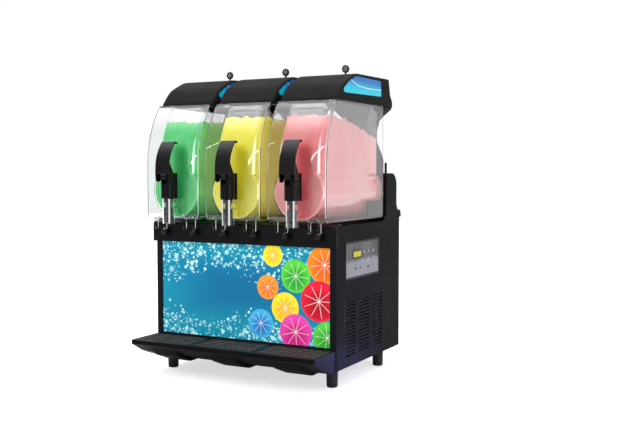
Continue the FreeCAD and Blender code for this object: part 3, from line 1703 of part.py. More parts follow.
def cable_gland():
    """Where the power cord enters: a hollow stub with a nut inside and a domed cap outside."""
    flange_radius = gland_radius + gland_flange_wall
    flange = rod(flange_radius, point(inlet_x, body_depth, switch_z), Y, gland_flange)
    dome = Part.makeCone(gland_radius + gland_dome_wall, gland_bore + gland_tip_wall, gland_dome,
                         point(inlet_x, body_depth + gland_flange, switch_z), Y)
    stub = rod(gland_radius - gland_thread_gap, point(inlet_x, body_depth - gland_stub, switch_z), Y,
               gland_stub + gland_flange)
    nut = rod(flange_radius, point(inlet_x, body_depth - sheet - gland_nut, switch_z), Y, gland_nut)
    bore = rod(gland_bore, point(inlet_x, body_depth - gland_stub - over, switch_z), Y, far)
    return carved(joined([flange, dome, stub, nut]), [bore])


save("chassis", [chassis()])
save("feet", feet())
save("side_panels", side_panels())
save("rear_panel", [rear_panel()])
save("rear_screws", rear_screws())
save("front_trim", [front_trim()])
save("catch_pegs", catch_pegs())
save("light_panel", [light_panel()])
save("light_board", [light_board()])
save("deck", [deck()])
save("rear_tower", [rear_tower()])
save("masts", masts())
save("evaporator_drums", evaporator_drums())
save("bowl_gaskets", bowl_gaskets())
save("gearmotors", gearmotors())
save("compressor", [compressor()])
save("condenser", [condenser()])
save("fan_shroud", [fan_shroud()])
save("condenser_fan", [condenser_fan()])
save("refrigerant_pipes", refrigerant_pipes())
save("control_overlay", [control_overlay()])
save("control_board", [control_board()])
save("power_switch", [power_switch()])
save("power_fittings", [cable_gland(), switch_frame()])
for index, name in enumerate(station_names):
    station = stations[index]
    save("bowl_" + name, [bowl_tank(station), bowl_jacket(station)])
    save("slush_" + name, [slush(index)])
    save("auger_" + name, [auger(station)])
    save("drive_shaft_" + name, [drive_shaft(station)])
    save("tap_housing_" + name, [tap_housing(station)])
    save("tap_handle_" + name, [tap_handle(station)])
    save("tap_piston_" + name, tap_piston(station))
    save("lid_" + name, [lid(station)])
    save("lid_windows_" + name, lid_windows(station))
    save("lid_key_" + name, [lid_key(station)])
    save("drip_tray_" + name, [drip_tray(index)])
    save("drip_grille_" + name, [drip_grille(index)])
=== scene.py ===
"""Looks of a countertop machine with three bowls of frozen drink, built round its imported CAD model."""

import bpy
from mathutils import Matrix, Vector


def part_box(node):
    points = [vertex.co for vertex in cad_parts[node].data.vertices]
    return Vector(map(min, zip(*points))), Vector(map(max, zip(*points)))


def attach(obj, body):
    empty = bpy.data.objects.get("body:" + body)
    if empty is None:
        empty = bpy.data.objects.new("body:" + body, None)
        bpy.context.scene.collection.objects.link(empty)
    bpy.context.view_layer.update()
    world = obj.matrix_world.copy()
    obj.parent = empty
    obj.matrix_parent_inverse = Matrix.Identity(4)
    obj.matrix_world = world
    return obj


bl_info = {
    "name": "Frozen drink machine",
    "version": (1, 0, 0),
    "blender": (4, 5, 0),
    "location": "3D View > Sidebar > Drinks",
    "description": "Finishes, drinks, printed panel and controls of a three-bowl frozen drink machine",
    "category": "Object",
}

import math

import bmesh
import bpy
from bpy.props import FloatProperty, FloatVectorProperty, IntProperty, PointerProperty
from mathutils import Vector, noise
from mathutils.bvhtree import BVHTree

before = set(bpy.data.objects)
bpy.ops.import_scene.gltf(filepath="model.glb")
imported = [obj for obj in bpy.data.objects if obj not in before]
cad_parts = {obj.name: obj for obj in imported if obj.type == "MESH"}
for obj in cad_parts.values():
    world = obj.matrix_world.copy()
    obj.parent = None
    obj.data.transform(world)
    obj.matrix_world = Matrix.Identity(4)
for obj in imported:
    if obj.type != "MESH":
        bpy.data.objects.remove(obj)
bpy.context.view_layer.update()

SIDES = ("left", "centre", "right")
BLACK = (0.0, 0.0, 0.0)
WHITE = (1.0, 1.0, 1.0)
UP = Vector((0, 0, 1))


# Settings that a user would change

def colour(name, description, default):
    return FloatVectorProperty(name=name, description=description, default=default, size=3,
                               min=0.0, max=1.0, subtype="COLOR")


def length(name, description, default):
    return FloatProperty(name=name, description=description, default=default, min=0.0,
                         subtype="DISTANCE", unit="LENGTH", precision=5)


def share(name, description, default):
    return FloatProperty(name=name, description=description, default=default, min=0.0, max=1.0,
                         subtype="FACTOR")


class CabinetLooks(bpy.types.PropertyGroup):
    """Colours and surface sizes of the cabinet, the tower and the trays."""
    paint: colour("Paint", "Coated sheet of the cabinet", (0.011, 0.013, 0.015))
    plastic: colour("Moulded plastic", "Tower and masts", (0.010, 0.010, 0.012))
    lid: colour("Lid plastic", "Slightly lighter plastic of the lids", (0.022, 0.021, 0.022))
    gloss: colour("Black plastic", "Front band, pegs, taps and trays", (0.004, 0.004, 0.005))
    rubber: colour("Rubber", "Feet", (0.012, 0.012, 0.013))
    grain: length("Grain", "Width of one grain of moulded plastic", 0.0009)
    peel: length("Peel", "Width of one wave in the coated sheet", 0.0035)
    edge: length("Edge", "Radius of the softened edges", 0.0009)
    liner: length("Spout liner", "Height of the dark sleeve in a spout", 0.024)


class DrinkLooks(bpy.types.PropertyGroup):
    """Colours of the drinks and the size of their lumps."""
    left: colour("Left drink", "Green ice", (0.070, 0.58, 0.155))
    centre: colour("Centre drink", "Yellow ice", (0.88, 0.78, 0.030))
    right: colour("Right drink", "Pink ice", (0.80, 0.20, 0.20))
    left_pale: colour("Left drink, pale", "Green ice with more air in it", (0.16, 0.74, 0.27))
    centre_pale: colour("Centre drink, pale", "Yellow ice with more air in it", (0.90, 0.86, 0.16))
    right_pale: colour("Right drink, pale", "Pink ice with more air in it", (0.82, 0.36, 0.335))
    # Painted shade: the three colours below are those of the painted shadow that each tap casts on its drink.
    left_deep: colour("Left drink, dense", "Green ice before the spiral's end", (0.026, 0.50, 0.110))
    centre_deep: colour("Centre drink, dense", "Yellow ice before the spiral's end", (0.90, 0.80, 0.010))
    right_deep: colour("Right drink, dense", "Pink ice before the spiral's end", (0.78, 0.095, 0.105))
    lump: length("Lump", "Width of one lump on the drink's top", 0.014)
    lump_height: length("Lump height", "Height of a lump", 0.009)
    step: length("Mesh size", "Width of one face of the drink's lumpy top", 0.0022)
    seed: IntProperty(name="Seed", description="Which lumps the drinks get", default=4, min=0)


class PrintLooks(bpy.types.PropertyGroup):
    """Colours of the lit print on the front and of the lids' panes."""
    middle: colour("Middle", "Blue in the middle of the print", (0.003, 0.145, 0.31))
    border: colour("Border", "Teal at the print's border", (0.005, 0.27, 0.40))
    dot: colour("Dots", "Pale dots on the print", (0.56, 0.93, 0.95))
    glow: share("Glow", "Strength of the light behind the print", 0.35)
    pane_high: colour("Pane, top", "Blue at the top of a lid's pane", (0.004, 0.15, 0.50))
    pane_low: colour("Pane, bottom", "Cyan at the bottom of a lid's pane", (0.010, 0.56, 0.72))
    pane_glow: share("Pane glow", "Strength of the light behind a lid's pane", 0.2)


class ControlLooks(bpy.types.PropertyGroup):
    """Sizes and colours of the marks on the control film."""
    film_high: colour("Film, top", "Grey of the film's upper half", (0.050, 0.058, 0.055))
    film_low: colour("Film, bottom", "Silver of the film's lower half", (0.32, 0.32, 0.36))
    display: colour("Display", "Lit display", (0.62, 0.55, 0.02))
    display_width: length("Display width", "Width of the lit display", 0.048)
    display_height: length("Display height", "Height of the lit display", 0.015)
    border: length("Border", "Width of the film's dark border", 0.006)
    lamp_radius: length("Lamp radius", "Radius of an indicator lamp", 0.0026)
    mark: length("Mark", "Size of one key's mark", 0.008)


class StageLooks(bpy.types.PropertyGroup):
    """Camera, floor and surroundings."""
    lens: FloatProperty(name="Lens", description="Focal length in millimetres", default=50.94,
                        min=1.0, subtype="DISTANCE_CAMERA")
    camera_place: FloatVectorProperty(name="Camera", description="Place of the camera", size=3,
                                      default=(1.34138, -2.26266, 0.58925), subtype="TRANSLATION")
    camera_turn: FloatProperty(name="Turn", description="Camera's turn about the vertical",
                               default=math.radians(27.81), subtype="ANGLE", unit="ROTATION")
    camera_tilt: FloatProperty(name="Tilt", description="Camera's tilt below the horizon",
                               default=math.radians(2.88), subtype="ANGLE", unit="ROTATION")
    floor: colour("Floor", "Pale floor", (0.86, 0.86, 0.87))
    sky: colour("Surroundings", "Light from all round", (0.80, 0.80, 0.80))
    even: share("Even light", "Strength of the light from all round", 0.62)
    violet: colour("Violet lamp", "Tint low on the right", (0.32, 0.27, 1.0))


def looks(context, name):
    return getattr(context.scene, "drinks_" + name)


# Node trees

class Number:
    """A number that changes over a surface: counts like a plain one, with a Math node for each step."""

    def __init__(self, tree, socket):
        self.tree = tree
        self.socket = socket

    def __add__(self, other):
        return calc(self.tree, "ADD", self, other)

    def __sub__(self, other):
        return calc(self.tree, "SUBTRACT", self, other)

    def __mul__(self, other):
        return calc(self.tree, "MULTIPLY", self, other)

    def __truediv__(self, other):
        return calc(self.tree, "DIVIDE", self, other)

    def __rtruediv__(self, other):
        return calc(self.tree, "DIVIDE", other, self)

    def __abs__(self):
        return calc(self.tree, "ABSOLUTE", self)


def put(socket, value):
    """Links a socket to a Number or another socket, or sets its own value."""
    if isinstance(value, Number):
        value = value.socket
    if isinstance(value, bpy.types.NodeSocket):
        socket.id_data.links.new(value, socket)
    elif socket.type == "RGBA":
        socket.default_value = (*value, 1.0)
    else:
        socket.default_value = value


def fill(inputs, values):
    for key, value in values.items():
        put(inputs[key], value)


def add(tree, kind, values=None, **options):
    """Adds a node, sets its options, and sets or links its inputs."""
    made = tree.nodes.new("ShaderNode" + kind)
    for key, value in options.items():
        setattr(made, key, value)
    fill(made.inputs, values or {})
    return made


def numbers(tree, outputs):
    """A node's outputs by name, the plain values among them as Numbers."""
    return {s.name: Number(tree, s) if s.type == "VALUE" else s for s in outputs}


def calc(tree, operation, *values, clamp=False):
    made = add(tree, "Math", dict(enumerate(values)), operation=operation, use_clamp=clamp)
    return Number(tree, made.outputs[0])


def sine(value):
    return calc(value.tree, "SINE", value)


def larger(first, second):
    return calc(first.tree, "MAXIMUM", first, second)


def ramp(value, low, high, start=0.0, end=1.0):
    """value, eased from start to end between low and high."""
    values = {"Value": value, "From Min": low, "From Max": high, "To Min": start, "To Max": end}
    return Number(value.tree, add(value.tree, "MapRange", values, interpolation_type="SMOOTHSTEP").outputs[0])


def blend(amount, first, second):
    """The first colour where amount is 0 and the second where it is 1."""
    return add(amount.tree, "Mix", {0: amount, 6: first, 7: second}, data_type="RGBA").outputs[2]


def place_on(tree):
    return add(tree, "TexCoord").outputs["Object"]


def split(tree, vector):
    return numbers(tree, add(tree, "SeparateXYZ", {0: vector}).outputs)


def rays(tree):
    """What kind of ray meets the surface, by name."""
    return numbers(tree, add(tree, "LightPath").outputs)


def axes(tree):
    """Where a point of the surface lies, as X, Y and Z in metres."""
    return split(tree, place_on(tree))


def facing(tree):
    """The way that the surface faces, as X, Y and Z."""
    return split(tree, add(tree, "NewGeometry").outputs["Normal"])


def cloud(tree, scale, detail=2.0, roughness=0.5, distortion=0.0, place=None):
    """Soft noise with about scale clouds to a metre."""
    values = {"Vector": place_on(tree) if place is None else place, "Scale": scale, "Detail": detail,
              "Roughness": roughness, "Distortion": distortion}
    return Number(tree, add(tree, "TexNoise", values).outputs[0])


def group(name, inputs, outputs):
    """An empty shader node group with named sockets, and its two end nodes' sockets."""
    tree = bpy.data.node_groups.new(name, "ShaderNodeTree")
    for socket, kind, default in inputs:
        made = tree.interface.new_socket(socket, in_out="INPUT", socket_type="NodeSocket" + kind)
        made.default_value = default
    for socket, kind in outputs:
        tree.interface.new_socket(socket, in_out="OUTPUT", socket_type="NodeSocket" + kind)
    given = numbers(tree, tree.nodes.new("NodeGroupInput").outputs)
    return tree, given, tree.nodes.new("NodeGroupOutput").inputs


def use(tree, name, **values):
    """Places the named group in a material, with its own values."""
    made = tree.nodes.new("ShaderNodeGroup")
    made.node_tree = bpy.data.node_groups[name]
    for key, value in values.items():
        put(made.inputs[key.capitalize()], value)
    return numbers(tree, made.outputs)


def grain_group():
    """Fine even grain of moulded plastic or coated sheet, with larger soft smudges."""
    tree, given, out = group("Grain", [("Width", "Float", 0.001)],
                             [("Height", "Float"), ("Smudge", "Float")])
    put(out["Height"], cloud(tree, 1.0 / given["Width"], roughness=0.55))
    put(out["Smudge"], ramp(cloud(tree, 14.0, detail=4.0, roughness=0.6), 0.35, 0.7))


def edges_group():
    """Softened normals at sharp edges, and a mask of the edges that hands and cloths rub."""
    tree, given, out = group("Edges", [("Radius", "Float", 0.001)],
                             [("Normal", "Vector"), ("Rub", "Float")])
    wide = add(tree, "Bevel", {"Radius": given["Radius"] * 1.8}, samples=4).outputs[0]
    flat = add(tree, "NewGeometry").outputs["Normal"]
    same = add(tree, "VectorMath", {0: wide, 1: flat}, operation="DOT_PRODUCT").outputs["Value"]
    patches = ramp(cloud(tree, 60.0, detail=3.0), 0.35, 0.65)
    put(out["Normal"], add(tree, "Bevel", {"Radius": given["Radius"]}, samples=4).outputs[0])
    put(out["Rub"], ramp(Number(tree, same), 0.99, 0.85) * patches)


def brushed_group():
    """Long fine scratches along one direction of brushed or turned metal."""
    tree, given, out = group("Brushed", [("Stretch", "Vector", WHITE)],
                             [("Height", "Float"), ("Streak", "Float")])
    place = add(tree, "VectorMath", {0: place_on(tree), 1: given["Stretch"]}, operation="MULTIPLY").outputs[0]
    put(out["Height"], cloud(tree, 1500.0, detail=3.0, place=place))
    put(out["Streak"], cloud(tree, 300.0, place=place))


def slice_group():
    """One round slice of fruit on the print: its whole disc, its pale rim and its thin pale seams."""
    tree, given, out = group(
        "Slice",
        [("Across", "Float", 0.0), ("Up", "Float", 0.0), ("Radius", "Float", 0.03), ("Turn", "Float", 0.0)],
        [("Disc", "Float"), ("Rim", "Float"), ("Seam", "Float"), ("Shade", "Float")])
    at = axes(tree)
    x = at["X"] - given["Across"]
    z = at["Z"] - given["Up"]
    reach = calc(tree, "SQRT", x * x + z * z) / given["Radius"]
    angle = calc(tree, "ARCTAN2", z, x) + given["Turn"]
    seams = 9
    spoke = abs(sine(angle * (seams / 2)))
    put(out["Disc"], ramp(reach, 1.0, 0.975))
    put(out["Rim"], ramp(reach, 0.84, 0.88))
    put(out["Seam"], ramp(spoke * reach, 0.07, 0.02) * ramp(reach, 0.86, 0.8))
    put(out["Shade"], ramp(reach + z * 8.0, 0.2, 1.1))


def dots_group():
    """Scattered soft round dots of several sizes."""
    tree, given, out = group("Dots", [("Width", "Float", 0.01), ("Amount", "Float", 0.5),
                                      ("Shift", "Vector", BLACK)], [("Mask", "Float")])
    flat = add(tree, "VectorMath", {0: place_on(tree), 1: (1.0, 0.0, 1.0), 2: given["Shift"]},
               operation="MULTIPLY_ADD").outputs[0]
    cells = add(tree, "TexVoronoi", {"Vector": flat, "Scale": 1.0 / given["Width"], "Randomness": 1.0})
    chance = split(tree, cells.outputs["Color"])
    reach = Number(tree, cells.outputs["Distance"]) / (chance["X"] * 0.30 + 0.13)
    there = calc(tree, "LESS_THAN", chance["Y"], given["Amount"])
    put(out["Mask"], ramp(reach, 1.05, 0.45) * there * (chance["Z"] * 0.6 + 0.4))


# Materials

def material(name):
    """A new material with only a Principled BSDF and an output, its tree, and the BSDF's inputs."""
    made = bpy.data.materials.new(name)
    made.use_nodes = True
    tree = made.node_tree
    tree.nodes.clear()
    skin = add(tree, "BsdfPrincipled")
    add(tree, "OutputMaterial", {"Surface": skin.outputs[0]})
    return made, tree, skin.inputs


def node_of(tree, kind):
    return next(n for n in tree.nodes if n.type == kind)


def show_instead(tree, picked, shader):
    """Shows another shader to the picked rays."""
    surface = node_of(tree, "OUTPUT_MATERIAL").inputs["Surface"]
    mixed = add(tree, "MixShader", {0: picked, 1: surface.links[0].from_socket, 2: shader.outputs[0]})
    put(surface, mixed.outputs[0])


def lit(skin, shown, strength):
    """Gives a surface its colour, with light of that colour from inside."""
    fill(skin, {"Base Color": shown, "Emission Color": shown, "Emission Strength": strength})


def bump(tree, skin, height, depth, **values):
    values.update({"Height": height, "Distance": depth, "Strength": 1.0})
    put(skin["Normal"], add(tree, "Bump", values).outputs[0])


def wiped(tree, skin, rough, spread):
    """Gives a smooth sheet faint smudges, from rough to rough + spread, and returns its fine waves."""
    smudge = use(tree, "Grain", width=0.004)
    put(skin["Roughness"], smudge["Smudge"] * spread + rough)
    return smudge["Height"]


def hard_surface(name, nodes, base, rubbed, rough, spread=0.1, depth=0.00003, grain=0, edge=0, coat=0,
                 shine=0.5):
    """Gives nodes plastic or paint with grain, smudges and softened, slightly rubbed edges. Smudges add up to
    spread to the roughness. Without its own grain and edge it has those of the settings, in metres."""
    made, tree, skin = material(name)
    look = looks(bpy.context, "cabinet")
    grains = use(tree, "Grain", width=grain or look.grain)
    edges = use(tree, "Edges", radius=edge or look.edge)
    put(skin["Base Color"], blend(edges["Rub"] * 0.35, base, rubbed))
    put(skin["Roughness"], grains["Smudge"] * spread + rough)
    bump(tree, skin, grains["Height"], depth, Normal=edges["Normal"])
    put(skin["Specular IOR Level"], shine)
    if coat:
        fill(skin, {"Coat Weight": coat, "Coat Roughness": 0.06})
    dress(made, nodes)
    return made


def metal(name, nodes, base, rough, stretch=WHITE):
    """Gives nodes brushed or turned metal."""
    made, tree, skin = material(name)
    lines = use(tree, "Brushed", stretch=stretch)
    darker = [0.72 * c for c in base]
    fill(skin, {"Base Color": blend(lines["Streak"], darker, base), "Metallic": 1.0,
                "Roughness": lines["Streak"] * 0.2 + (rough - 0.1)})
    bump(tree, skin, lines["Height"], 0.00004)
    dress(made, nodes)
    return made


def dress(finish, nodes):
    """Gives CAD nodes their finish."""
    for name in nodes:
        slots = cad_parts[name].data.materials
        slots.clear()
        slots.append(finish)


def each(stem):
    return [stem + "_" + side for side in SIDES]


# New objects

def new_object(name, data):
    made = bpy.data.objects.new(name, data)
    bpy.context.scene.collection.objects.link(made)
    return made


def new_mesh(name, mesh, finish):
    """Turns a bmesh into an object."""
    data = bpy.data.meshes.new(name)
    mesh.to_mesh(data)
    mesh.free()
    data.materials.append(finish)
    return new_object(name, data)


def new_piece(name, mesh, body, finish, smooth=True):
    """Turns a bmesh into an object that rides on a body."""
    made = new_mesh(name, mesh, finish)
    if smooth:
        made.data.shade_smooth()
    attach(made, body)


def prism(mesh, outline, place, across, out, depth, inset):
    """Adds a low raised shape with sloped sides: outline is (across, up) pairs on a plane at place."""
    rings = []
    middle = Vector((sum(p[0] for p in outline), sum(p[1] for p in outline))) / len(outline)
    for height, narrow in ((0.0, 0.0), (depth * 0.6, 0.0), (depth, inset)):
        ring = []
        for p in outline:
            spoke = Vector(p) - middle
            q = middle + spoke * max(0.0, 1.0 - narrow / spoke.length)
            ring.append(mesh.verts.new(place + across * q.x + UP * q.y + out * height))
        rings.append(ring)
    for low, high in zip(rings, rings[1:]):
        join(mesh, low, high)
    mesh.faces.new(rings[-1])


def join(mesh, low, high):
    """Faces between two rings of vertices."""
    for k in range(len(low)):
        mesh.faces.new((low[k - 1], low[k], high[k], high[k - 1]))


def disc(radius, count=20):
    return [(radius * math.cos(2 * math.pi * k / count), radius * math.sin(2 * math.pi * k / count))
            for k in range(count)]


def rounded(width, height, radius, steps=5):
    """A rectangle's outline with round corners, about its middle."""
    found = []
    for quarter, (sx, sy) in enumerate(((1, 1), (-1, 1), (-1, -1), (1, -1))):
        for k in range(steps + 1):
            angle = math.pi / 2 * (quarter + k / steps)
            found.append((sx * (width / 2 - radius) + radius * math.cos(angle),
                          sy * (height / 2 - radius) + radius * math.sin(angle)))
    return found


# Operators: one for each piece or group of like pieces

class DRINKS_OT_stage(bpy.types.Operator):
    """Pale floor, soft lamps, surroundings and the camera"""
    bl_idname = "drinks.stage"
    bl_label = "Stage"

    middle = (0.0, 0.0, 0.5)
    # Name, place, width and height in metres and power in watts of the lamps that aim at the middle
    soft_lamps = (
        ("key_lamp", (-1.6, -2.6, 2.3), (1.6, 1.6), 48.0),
        ("fill_lamp", (2.7, -0.9, 1.5), (0.7, 2.0), 22.0),
        ("top_lamp", (0.0, 0.2, 2.8), (1.8, 1.2), 18.0),
        ("rear_lamp", (-0.9, 2.4, 1.7), (1.4, 1.4), 18.0),
    )
    # Where the thin upright lamps stand that put a glint on each bowl
    glints_across = (-1.706, -1.316, -0.926)
    glint_front = -2.4
    glint_height = 1.21
    floor_half = 7.0

    def execute(self, context):
        look = looks(context, "stage")
        self.camera(context, look)
        self.surroundings(context, look)
        self.floor(look)
        for name, place, size, power in self.soft_lamps:
            self.lamp(name, place, self.middle, size, power, soft=True)
        self.lamp("violet_lamp", (0.44, 0.03, 0.03), (0.30, -0.12, 0.07), (0.26, 0.06), 0.22, look.violet)
        self.lamp("tall_lamp", (-0.45, -2.7, 0.9), (0.0, -0.2, 0.6), (0.10, 1.5), 1.6)
        for number, across in enumerate(self.glints_across):
            place = (across, self.glint_front, self.glint_height)
            ahead = (across, 0.0, self.glint_height)
            self.lamp("glint_lamp_%d" % number, place, ahead, (0.012, 1.12), 0.5)
        return {"FINISHED"}

    def camera(self, context, look):
        eye = bpy.data.cameras.new("camera")
        eye.lens = look.lens
        made = new_object("camera", eye)
        made.location = look.camera_place
        made.rotation_euler = (math.pi / 2 - look.camera_tilt, 0.0, look.camera_turn)
        context.scene.camera = made

    def surroundings(self, context, look):
        """Even light on the object; white to the camera; what gloss and clear plastic show is white behind
        the object, dim in front of it and brightest overhead and on the right."""
        world = bpy.data.worlds.new("surroundings")
        world.use_nodes = True
        tree = world.node_tree
        tree.nodes.clear()
        way = split(tree, add(tree, "TexCoord").outputs["Generated"])
        behind = ramp(way["Y"], -0.3, 0.3, 0.25, 1.0)
        right = ramp(way["X"], 0.6, 0.85) * ramp(way["Y"], 0.3, 0.0, 0.0, 1.3)
        overhead = ramp(way["Z"], 0.52, 0.94, 0.0, 4.0)
        light = add(tree, "Background", {"Color": look.sky, "Strength": look.even})
        shown = add(tree, "Background", {"Color": WHITE, "Strength": 1.0})
        mirrored = add(tree, "Background", {"Color": WHITE, "Strength": behind + (right + overhead)})
        path = rays(tree)
        clear = larger(path["Is Glossy Ray"], path["Is Transmission Ray"])
        unseen = add(tree, "MixShader", {0: clear, 1: light.outputs[0], 2: mirrored.outputs[0]})
        mixed = add(tree, "MixShader", {0: path["Is Camera Ray"], 1: unseen.outputs[0], 2: shown.outputs[0]})
        add(tree, "OutputWorld", {"Surface": mixed.outputs[0]})
        context.scene.world = world
        context.scene.view_settings.view_transform = "Standard"

    def floor(self, look):
        """Pale floor, which is white to the camera and through clear plastic, except in the shadow."""
        made, tree, skin = material("floor")
        fill(skin, {"Base Color": look.floor, "Roughness": 0.9, "Specular IOR Level": 0.1})
        glow = add(tree, "BsdfPrincipled", {"Base Color": look.floor, "Roughness": 0.9,
                                            "Emission Color": WHITE, "Emission Strength": 0.62})
        path = rays(tree)
        show_instead(tree, larger(path["Is Camera Ray"], path["Is Transmission Ray"]), glow)
        mesh = bmesh.new()
        corners = ((-1, -1), (1, -1), (1, 1), (-1, 1))
        mesh.faces.new([mesh.verts.new((x * self.floor_half, y * self.floor_half, 0.0)) for x, y in corners])
        ground = new_mesh("floor", mesh, made)

    def lamp(self, name, place, target, size, power, tint=WHITE, soft=False):
        """An area lamp; a soft one isn't mirrored in gloss or clear plastic."""
        data = bpy.data.lights.new(name, "AREA")
        data.shape = "RECTANGLE"
        data.size, data.size_y = size
        data.energy = power
        data.color = tint
        made = new_object(name, data)
        made.visible_camera = False
        made.visible_glossy = not soft
        made.visible_transmission = not soft
        made.location = place
        made.rotation_euler = (Vector(place) - Vector(target)).to_track_quat("Z", "Y").to_euler()


class DRINKS_OT_groups(bpy.types.Operator):
    """Shader node groups that the materials share"""
    bl_idname = "drinks.groups"
    bl_label = "Shared effects"

    def execute(self, context):
        for make in (grain_group, edges_group, brushed_group, slice_group, dots_group):
            make()
        return {"FINISHED"}


class DRINKS_OT_cabinet(bpy.types.Operator):
    """Coated sheet cabinet with its louvres, rear panel, deck, screws and rubber feet"""
    bl_idname = "drinks.cabinet"
    bl_label = "Cabinet"

    def execute(self, context):
        look = looks(context, "cabinet")
        hard_surface("cabinet_paint", ["side_panels", "rear_panel"], look.paint, (0.06, 0.06, 0.065), 0.38,
                     depth=0.00006, grain=look.peel, shine=0.02)
        hard_surface("frame_paint", ["chassis", "deck"], look.paint, (0.05, 0.05, 0.055), 0.42, spread=0.12,
                     depth=0.00005, grain=look.peel, shine=0.03)
        hard_surface("foot_rubber", ["feet"], look.rubber, (0.05, 0.05, 0.05), 0.62, spread=0.15,
                     depth=0.00008)
        metal("screw_steel", ["rear_screws"], (0.62, 0.63, 0.64), 0.32)
        return {"FINISHED"}


class DRINKS_OT_trim(bpy.types.Operator):
    """Gloss band under the bowls and its round pegs"""
    bl_idname = "drinks.trim"
    bl_label = "Front band"

    def execute(self, context):
        look = looks(context, "cabinet")
        hard_surface("band_plastic", ["front_trim"], look.gloss, (0.03, 0.03, 0.035), 0.34, spread=0.12,
                     shine=0.15)
        hard_surface("peg_gloss", ["catch_pegs"], look.gloss, (0.03, 0.03, 0.035), 0.12, spread=0.06,
                     depth=0.00001, grain=look.peel, shine=0.3)
        return {"FINISHED"}


class DRINKS_OT_tower(bpy.types.Operator):
    """Moulded cover behind the bowls and the masts up to the lids"""
    bl_idname = "drinks.tower"
    bl_label = "Tower"

    def execute(self, context):
        look = looks(context, "cabinet")
        hard_surface("tower_plastic", ["rear_tower", "masts"], look.plastic, (0.05, 0.05, 0.055), 0.36,
                     spread=0.14, depth=0.00004, shine=0.03)
        return {"FINISHED"}


class DRINKS_OT_panel(bpy.types.Operator):
    """Lit print on the front: blue ground, pale dots and slices of fruit"""
    bl_idname = "drinks.panel"
    bl_label = "Lit print"

    # Across and up from the panel's middle as shares of its half width and half height, radius in metres,
    # turn, flesh colour and darker flesh colour
    slices = (
        (0.36, 0.80, 0.031, 0.3, (0.95, 0.76, 0.02), (0.90, 0.52, 0.01)),
        (0.94, 0.66, 0.052, 0.9, (0.93, 0.26, 0.015), (0.80, 0.12, 0.01)),
        (0.62, 0.40, 0.046, 0.1, (0.10, 0.60, 0.05), (0.02, 0.36, 0.03)),
        (0.30, 0.14, 0.034, 0.5, (0.93, 0.30, 0.02), (0.85, 0.16, 0.01)),
        (0.88, -0.08, 0.056, 0.7, (0.80, 0.010, 0.045), (0.45, 0.004, 0.02)),
        (0.50, -0.26, 0.043, 1.1, (0.94, 0.70, 0.02), (0.90, 0.45, 0.01)),
        (0.22, -0.62, 0.040, 0.2, (0.05, 0.42, 0.75), (0.01, 0.20, 0.55)),
        (0.62, -0.74, 0.050, 0.8, (0.82, 0.06, 0.42), (0.62, 0.02, 0.22)),
        (0.97, -0.80, 0.044, 0.4, (0.10, 0.60, 0.06), (0.03, 0.40, 0.03)),
    )
    seam_colour = (0.93, 0.90, 0.80)
    # Width in metres of the patch round each dot, one layer of dots for each
    dot_widths = (0.027, 0.020, 0.015, 0.011, 0.0165, 0.0125, 0.009)
    print_depth = 0.0002

    def execute(self, context):
        look = looks(context, "print")
        low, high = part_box("light_panel")
        middle, half = (low + high) / 2, (high - low) / 2
        made, tree, skin = material("lit_print")
        at = axes(tree)
        shown = self.ground(tree, look, (at["X"] - middle.x) / half.x, (at["Z"] - middle.z) / half.z)
        for x, z, radius, turn, flesh, deep in self.slices:
            cut = use(tree, "Slice", across=middle.x + x * half.x, up=middle.z + z * half.z,
                      radius=radius, turn=turn)
            fruit = blend(cut["Shade"], deep, flesh)
            fruit = blend(cut["Seam"], fruit, self.seam_colour)
            fruit = blend(cut["Rim"], fruit, flesh)
            shown = blend(cut["Disc"], shown, fruit)
        front = calc(tree, "LESS_THAN", at["Y"], low.y + self.print_depth)
        lit(skin, blend(front, (0.75, 0.76, 0.77), shown), look.glow)
        bump(tree, skin, wiped(tree, skin, 0.16, 0.06), 0.00001)
        put(skin["Specular IOR Level"], 0.15)
        dress(made, ["light_panel"])
        hard_surface("lamp_board", ["light_board"], (0.72, 0.73, 0.73), (0.8, 0.8, 0.8), 0.5, depth=0.00002,
                     grain=0.002, edge=0.0004)
        return {"FINISHED"}

    def ground(self, tree, look, across, up):
        """Blue ground that turns teal at the border, with dots drifting along its upper and lower edges."""
        border = larger(abs(up + -0.08), abs(across) * 0.75) + cloud(tree, 5.0) * 0.25
        shown = blend(ramp(border, 0.25, 1.05), look.middle, look.border)
        wave = sine(across * 5.0) * 0.16
        amount = larger(ramp(up + wave, 0.18, 0.85), ramp(wave - up, 0.35, 0.95))
        for k, width in enumerate(self.dot_widths):
            dots = use(tree, "Dots", width=width, amount=amount, shift=(0.37 * k, 0.0, 0.61 * k))
            shown = blend(dots["Mask"], shown, look.dot)
        return shown


class DRINKS_OT_bowls(bpy.types.Operator):
    """Clear bowls with their spouts and forks"""
    bl_idname = "drinks.bowls"
    bl_label = "Bowls"

    def execute(self, context):
        made, tree, skin = material("clear_plastic")
        fill(skin, {"Base Color": (0.985, 0.99, 1.0), "Transmission Weight": 1.0, "IOR": 1.46})
        bump(tree, skin, wiped(tree, skin, 0.004, 0.012), 0.000001)
        # Painted highlight: the upright round corners glow white through emission.
        corners = blend(self.corners(tree), BLACK, (0.95, 0.97, 1.0))
        fill(skin, {"Emission Color": corners, "Emission Strength": 0.4})
        clear = add(tree, "BsdfTransparent", {"Color": (0.975, 0.98, 0.985)})
        show_instead(tree, rays(tree)["Is Shadow Ray"], clear)
        dress(made, each("bowl"))
        hard_surface("seal_rubber", ["bowl_gaskets"], (0.55, 0.56, 0.54), (0.65, 0.65, 0.63), 0.5,
                     grain=0.001, edge=0.0005)
        return {"FINISHED"}

    def corners(self, tree):
        """Painted highlight: the middle of each upright round corner, where the clear plastic glows white as
        if it mirrored a bright strip.
        """
        way = facing(tree)
        return ramp(abs(way["X"] * way["Y"]), 0.470, 0.498)


